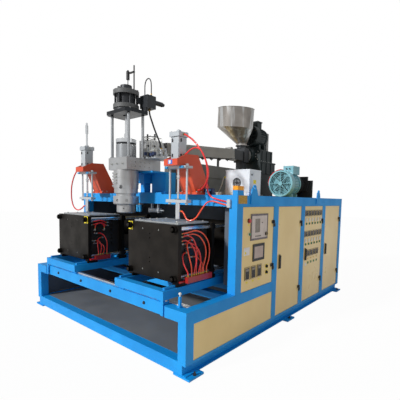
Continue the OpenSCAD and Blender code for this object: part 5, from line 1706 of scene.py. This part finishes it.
@dataclass
class ClosedSides:
    """Louvres, screws, locks, dark sheets laid inside as painted shade, and plates of the closed
    side, the rear and the roof.
    """

    x: float = -1496.0
    first: float = 822.0
    width: float = 655.0
    bay_pitch: float = 933.3
    rail: float = 139.0

    def panels(self) -> list[float]:
        """Where each panel of the closed side starts, from front to rear."""
        return [self.first + number * DOOR_PITCH for number in range(4)]

    def louvres(self) -> None:
        """The pressed louvres and the screws of the panels."""
        vents = Part("panel_louvres", TAN, Slot.TAN)
        screws = Part("panel_screws", ZINC, Slot.BRIGHT)
        for number, y in enumerate(self.panels()):
            near, far = y + 150, y + self.width - 150
            for k in range(9):
                # The first panel stands over the bed, so it has no lower rows
                for z in (1290, 240) if number else (1290,):
                    low, high = (near, z + k * 20), (far, z + k * 20 + 9)
                    vents.plate(self.x - 4.4, 4.6, low, high, 1.8)
            foot = 180 if number else 660
            for sy, z in product((y + 25, y + self.width - 25), (foot, 1490)):
                screws.rod((self.x, sy, z), Axis.LEFT, 8, 4, 16)
        for bay in range(3):
            x = -1400 + bay * self.bay_pitch
            for k in range(10):
                z = 1250 + k * 22
                vents.block((x + 230, REAR - 0.2, z), (x + 703, REAR + 4.4, z + 10), 1.8)
            for sx, z in product((x + 25, x + 908), (190, 840, 1490)):
                screws.rod((sx, REAR, z), Axis.REAR, 8, 4, 16)
        vents.done()
        screws.done()

    def painted_shade_linings(self) -> None:
        """Dark sheets inside the folded panels of the closed side: painted shade laid where their
        insides fall dark.
        """
        sheets = Part("panel_linings_painted_shade", SLATE, Slot.DARK)
        sheets.block((-1494.2, 105, 144), (-1492.4, 1590, 474), 0)
        sheets.block((-1492.6, 105, 141.1), (-1476.2, 1590, 141.8), 0)
        sheets.block((-1476.2, 105, 139.4), (-1475.7, 1590, 141.8), 0)
        for number, y in enumerate(self.panels()):
            low = (y + 5, 144 if number else 605)
            sheets.plate(-1494.2, 1.8, low, (y + self.width - 5, 1509), 0)
        sheets.done()

    def locks(self) -> None:
        """The quarter-turn locks of the panels, and the strips over the frame's joints."""
        locks = Part("panel_locks", BLACK_ABS, Slot.BLACK)
        for x, z in product((-933, 0, 933), (160, 1495)):
            locks.rod((x, REAR - 0.2, z), Axis.REAR, 12, 6, 20)
        for y in self.panels()[1:]:
            locks.rod((self.x, y + 30, 820), Axis.LEFT, 12, 6, 20)
        locks.done()
        strip = Part("corner_post_strip", AZURE, Slot.BLUE)
        for x in (1495.6, -1500.2):
            strip.plate(x, 4.6, (1492, self.rail), (1592, 640), 0.5)
        for x in (-466.7, 466.7):
            strip.block((x - 22, REAR - 0.2, self.rail), (x + 22, REAR + 3.8, 1515), 0.5)
        strip.done()

    def rear(self) -> None:
        """The main isolator and the blank plates on the rear."""
        switch = Part("main_isolator", RED_ABS, Slot.RED)
        switch.lathe((-1080, REAR + 3, 1000), Axis.REAR, ring(0, 34, 3, (2, 1)), 28)
        switch.block((-1087, REAR + 5.6, 970), (-1073, REAR + 8.6, 1030), 1)
        switch.done()
        Part("isolator_base", BLACK_ABS, Slot.BLACK).block(
            (-1150, REAR - 0.2, 930), (-1010, REAR + 3, 1070), 1
        ).done()
        blank = Part("rear_blank_plates", WHITE_FOIL, Slot.WHITE)
        blank.block((-1150, REAR, 1110), (-1010, REAR + 0.8, 1180), 0)
        blank.block((-90, REAR, 1000), (90, REAR + 0.8, 1120), 0)
        blank.done()

    def roof(self) -> None:
        """The cable duct on the roof and the two oil pipes beside it, with their clips."""
        low = ROOF + 0.2
        duct = Part("roof_cable_duct", GREY_ENAMEL, Slot.GREY)
        duct.block((300, 1150, low), (380, 3080, 1675), 2)
        duct.block((380.2, 1150, low), (1124, 1230, 1675), 2)
        for y in range(1300, 3000, 420):
            duct.block((297, y, low), (383, y + 24, 1678), 1)
        duct.done()
        oil = Part("hydraulic_pipes", DARK_STEEL, Slot.DARK)
        for x in (470, 516):
            level = [(x, y, 1650) for y in (940, 1000, 2000, 3300, 3560)]
            rise = ((8, 3600, 1662), (40, 3640, 1700), (58, 3660, 1760), (60, 3662, 1800))
            oil.pipe((*level, *((x + across, y, z) for across, y, z in rise)), 11)
            oil.block((x - 20, 930, low), (x + 20, 960, 1672), 2)
        for y in (1400, 2200, 3000):
            oil.block((440, y, low), (546, y + 30, 1668), 2)
        oil.done()

    def build(self) -> None:
        """Makes everything on the three sides."""
        self.louvres()
        self.painted_shade_linings()
        self.locks()
        self.rear()
        self.roof()


def mould_ends(routes: Sequence[Sequence[Point]]) -> tuple[tuple[Point, Axis], ...]:
    """Where hoses leave a mould's side, and which way they leave.

    Args:
        routes: the hoses' routes, each from the mould on.

    Returns:
        The first point of each route, with the rear or the front as its direction.
    """
    return tuple(
        (route[0], Axis.REAR if route[1][1] > route[0][1] else Axis.FRONT) for route in routes
    )


def sub_assemblies() -> list[SubAssembly]:
    """Sets up the groups of fine pieces.

    Returns:
        The groups, in the order in which they are built.
    """
    loop, *others = COOLING_LEFT
    return [
        Hinges(),
        HandlePlates(),
        OperatorDoor(),
        HeaterDoor(),
        Station(
            "right", middle=815.0, sticker=(427.0, 500.0), elbows=mould_ends(COOLING_RIGHT),
            manifold_x=1240.0, tails=(286, 334, 367, 400, 433, 466, 489, 512, 556),
        ),
        Station(
            "left",
            middle=-815.0,
            sticker=(-520.0, -429.0),
            elbows=(
                (loop[0], Axis.UP),
                (loop[-1], Axis.UP),
                *mould_ends(others),
                *((route[-1], Axis.FRONT) for route in others[-2:]),
            ),
            manifold_x=-408.0,
            tails=(312, 344, 376, 436),
        ),
        BlowUnit("right", 918.0),
        BlowUnit("left", -918.0),
        ArmLabel(),
        DieHead(),
        HeadPipework(),
        PortalFittings(),
        Bed(),
        BarrelLine(),
        Motor(
            "extruder_motor", x=0.0, z=2765.0, radius=195.0, start=3130.0,
            box_low=(-82.0, 3306.0, 2921.0), box_high=(82.0, 3466.0, 3060.0),
        ),
        Motor(
            "pump_motor", x=680.0, z=1880.0, radius=228.0, start=3139.0,
            box_low=(660.0, 3275.0, 2090.0), box_high=(850.0, 3531.0, 2190.0),
        ),
        MotorSleeve(),
        Gearbox(),
        SwitchBox(),
        ClosedSides(),
    ]


@dataclass(frozen=True)
class PhotoCamera:
    """The camera of the photograph, found by fitting it to the machine's edges.

    The angles are radians, the focal length and the centre are pixels of the photograph,
    and the sensor is millimetres wide.
    """

    spot: Point = (3396.91, -1956.03, 1600.0)
    yaw: float = 0.68503
    pitch: float = 0.07852
    roll: float = 0.02181
    focal: float = 322.734
    centre: Pair = (215.046, 223.495)
    sensor: float = 36.0
    reach: float = 100.0

    def build(self) -> None:
        """Makes the camera and sets it as the scene's."""
        turn, dip, lean = self.yaw, self.pitch, self.roll
        level = Vector((math.cos(turn), math.sin(turn), 0.0))
        flat = Vector((-math.sin(turn), math.cos(turn), 0.0))
        ahead = math.cos(dip) * flat - math.sin(dip) * Vector((0.0, 0.0, 1.0))
        over = level.cross(ahead)
        right = math.cos(lean) * level + math.sin(lean) * over
        up = math.cos(lean) * over - math.sin(lean) * level
        data = bpy.data.cameras.new("photo_camera")
        data.sensor_width = self.sensor
        data.lens = self.focal / PHOTO_SIZE * self.sensor
        data.shift_x = 0.5 - self.centre[0] / PHOTO_SIZE
        data.shift_y = self.centre[1] / PHOTO_SIZE - 0.5
        data.clip_end = self.reach
        camera = bpy.data.objects.new("photo_camera", data)
        spin = Matrix((right, up, -ahead)).transposed().to_4x4()
        camera.matrix_world = Matrix.Translation(place(self.spot)) @ spin
        bpy.context.scene.collection.objects.link(camera)
        bpy.context.scene.camera = camera


@dataclass(frozen=True)
class Studio:
    """Plain light: a soft sun on the front, a weak fill from the doors' side, pale all round.

    Glossy is the share of white that polished metal sees round it, and glow is how near
    to white the camera sees the floor.
    """

    ambient: float = 0.24
    sun: float = 3.0
    sun_from: Point = (-0.25, -0.85, 0.45)
    sun_angle: float = 6.0
    fill: float = 0.3
    fill_from: Point = (0.9, -0.1, 0.35)
    fill_angle: float = 60.0
    glossy: float = 0.5
    glow: float = 0.97
    floor_side: float = 60.0
    floor_drop: float = 0.001

    def lamp(self, name: str, strength: float, source: Point, angle: float) -> None:
        """Adds a sun lamp.

        Args:
            name: the lamp's name.
            strength: its strength.
            source: the direction that it shines from.
            angle: its apparent size in degrees, which softens its shadows.
        """
        data = bpy.data.lights.new(name, "SUN")
        data.energy = strength
        data.angle = math.radians(angle)
        lamp = bpy.data.objects.new(name, data)
        lamp.rotation_euler = Vector(source).to_track_quat("Z", "Y").to_euler()
        bpy.context.scene.collection.objects.link(lamp)

    def maths(self, tree: Tree, operation: str, first: Socket, second: Socket | float) -> Socket:
        """Joins two values.

        Args:
            tree: the node tree.
            operation: what is done with them, by the node's own name for it.
            first: the first value.
            second: the second value, a socket or a number.

        Returns:
            The result.
        """
        settings: dict[str | int, object] = {"operation": operation}
        links = {0: first}
        if isinstance(second, float):
            settings[1] = second
        else:
            links[1] = second
        return add_node(tree, "ShaderNodeMath", settings, links).outputs[0]

    def seen(self, tree: Tree) -> Socket:
        """Tells the rays that see the white surround from those that light the object.

        Args:
            tree: the node tree.

        Returns:
            One for a camera or transmission ray, the glossy share for a glossy ray, or nought.
        """
        path = add_node(tree, "ShaderNodeLightPath").outputs
        dimmed = self.maths(tree, "MULTIPLY", path["Is Glossy Ray"], self.glossy)
        camera = self.maths(tree, "MAXIMUM", path["Is Camera Ray"], dimmed)
        return self.maths(tree, "MAXIMUM", camera, path["Is Transmission Ray"])

    def world(self) -> None:
        """A white surround that lights the object with the ambient level."""
        made = bpy.data.worlds.new("studio")
        made.use_nodes = True
        tree = made.node_tree
        tree.nodes.clear()
        dim = add_node(
            tree, "ShaderNodeBackground", {"Color": WHITE_LIGHT, "Strength": self.ambient}
        )
        white = add_node(tree, "ShaderNodeBackground", {"Color": WHITE_LIGHT})
        links = {0: self.seen(tree), 1: dim.outputs[0], 2: white.outputs[0]}
        mix = add_node(tree, "ShaderNodeMixShader", {}, links)
        add_node(tree, "ShaderNodeOutputWorld", {}, {"Surface": mix.outputs[0]})
        bpy.context.scene.world = made

    def floor(self) -> None:
        """A pale floor that shows the object's shadow and is near white to the camera."""
        shape = bmesh.new()
        bmesh.ops.create_grid(shape, x_segments=1, y_segments=1, size=self.floor_side / 2)
        bmesh.ops.translate(shape, vec=(0.0, 0.0, -self.floor_drop), verts=shape.verts)
        mesh = bpy.data.meshes.new("floor")
        shape.to_mesh(mesh)
        shape.free()
        floor = bpy.data.objects.new("floor", mesh)
        bpy.context.scene.collection.objects.link(floor)
        made = bpy.data.materials.new("pale_floor")
        made.use_nodes = True
        tree = made.node_tree
        tree.nodes.clear()
        matt = add_node(tree, "ShaderNodeBsdfDiffuse", {"Color": PALE_FLOOR})
        glow = add_node(tree, "ShaderNodeEmission", {"Color": WHITE_LIGHT})
        share = self.maths(tree, "MULTIPLY", self.seen(tree), self.glow)
        links = {0: share, 1: matt.outputs[0], 2: glow.outputs[0]}
        mix = add_node(tree, "ShaderNodeMixShader", {}, links)
        add_node(tree, "ShaderNodeOutputMaterial", {}, {"Surface": mix.outputs[0]})
        mesh.materials.append(made)

    def build(self) -> None:
        """Makes the world, the lamps and the floor."""
        self.world()
        self.lamp("sun", self.sun, self.sun_from, self.sun_angle)
        self.lamp("fill", self.fill, self.fill_from, self.fill_angle)
        self.floor()
        bpy.context.scene.view_settings.view_transform = "Standard"


def dress_nodes() -> None:
    """Gives every CAD node the finish of its real material."""
    for finish, names in NODE_FINISHES.items():
        for name in names:
            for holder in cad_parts[name].material_slots:
                holder.material = finish.material()
            LOG.info("%s: %s", name, finish.name)


def main() -> None:
    """Builds the camera, the cords, the finishes, the fine pieces and the light."""
    logging.basicConfig(level=logging.INFO, format="%(message)s")
    PhotoCamera().build()
    for hoses in HOSE_SETS:
        hoses.build()
    dress_nodes()
    for group in sub_assemblies():
        group.build()
    Studio().build()


if __name__ == "__main__":
    main()
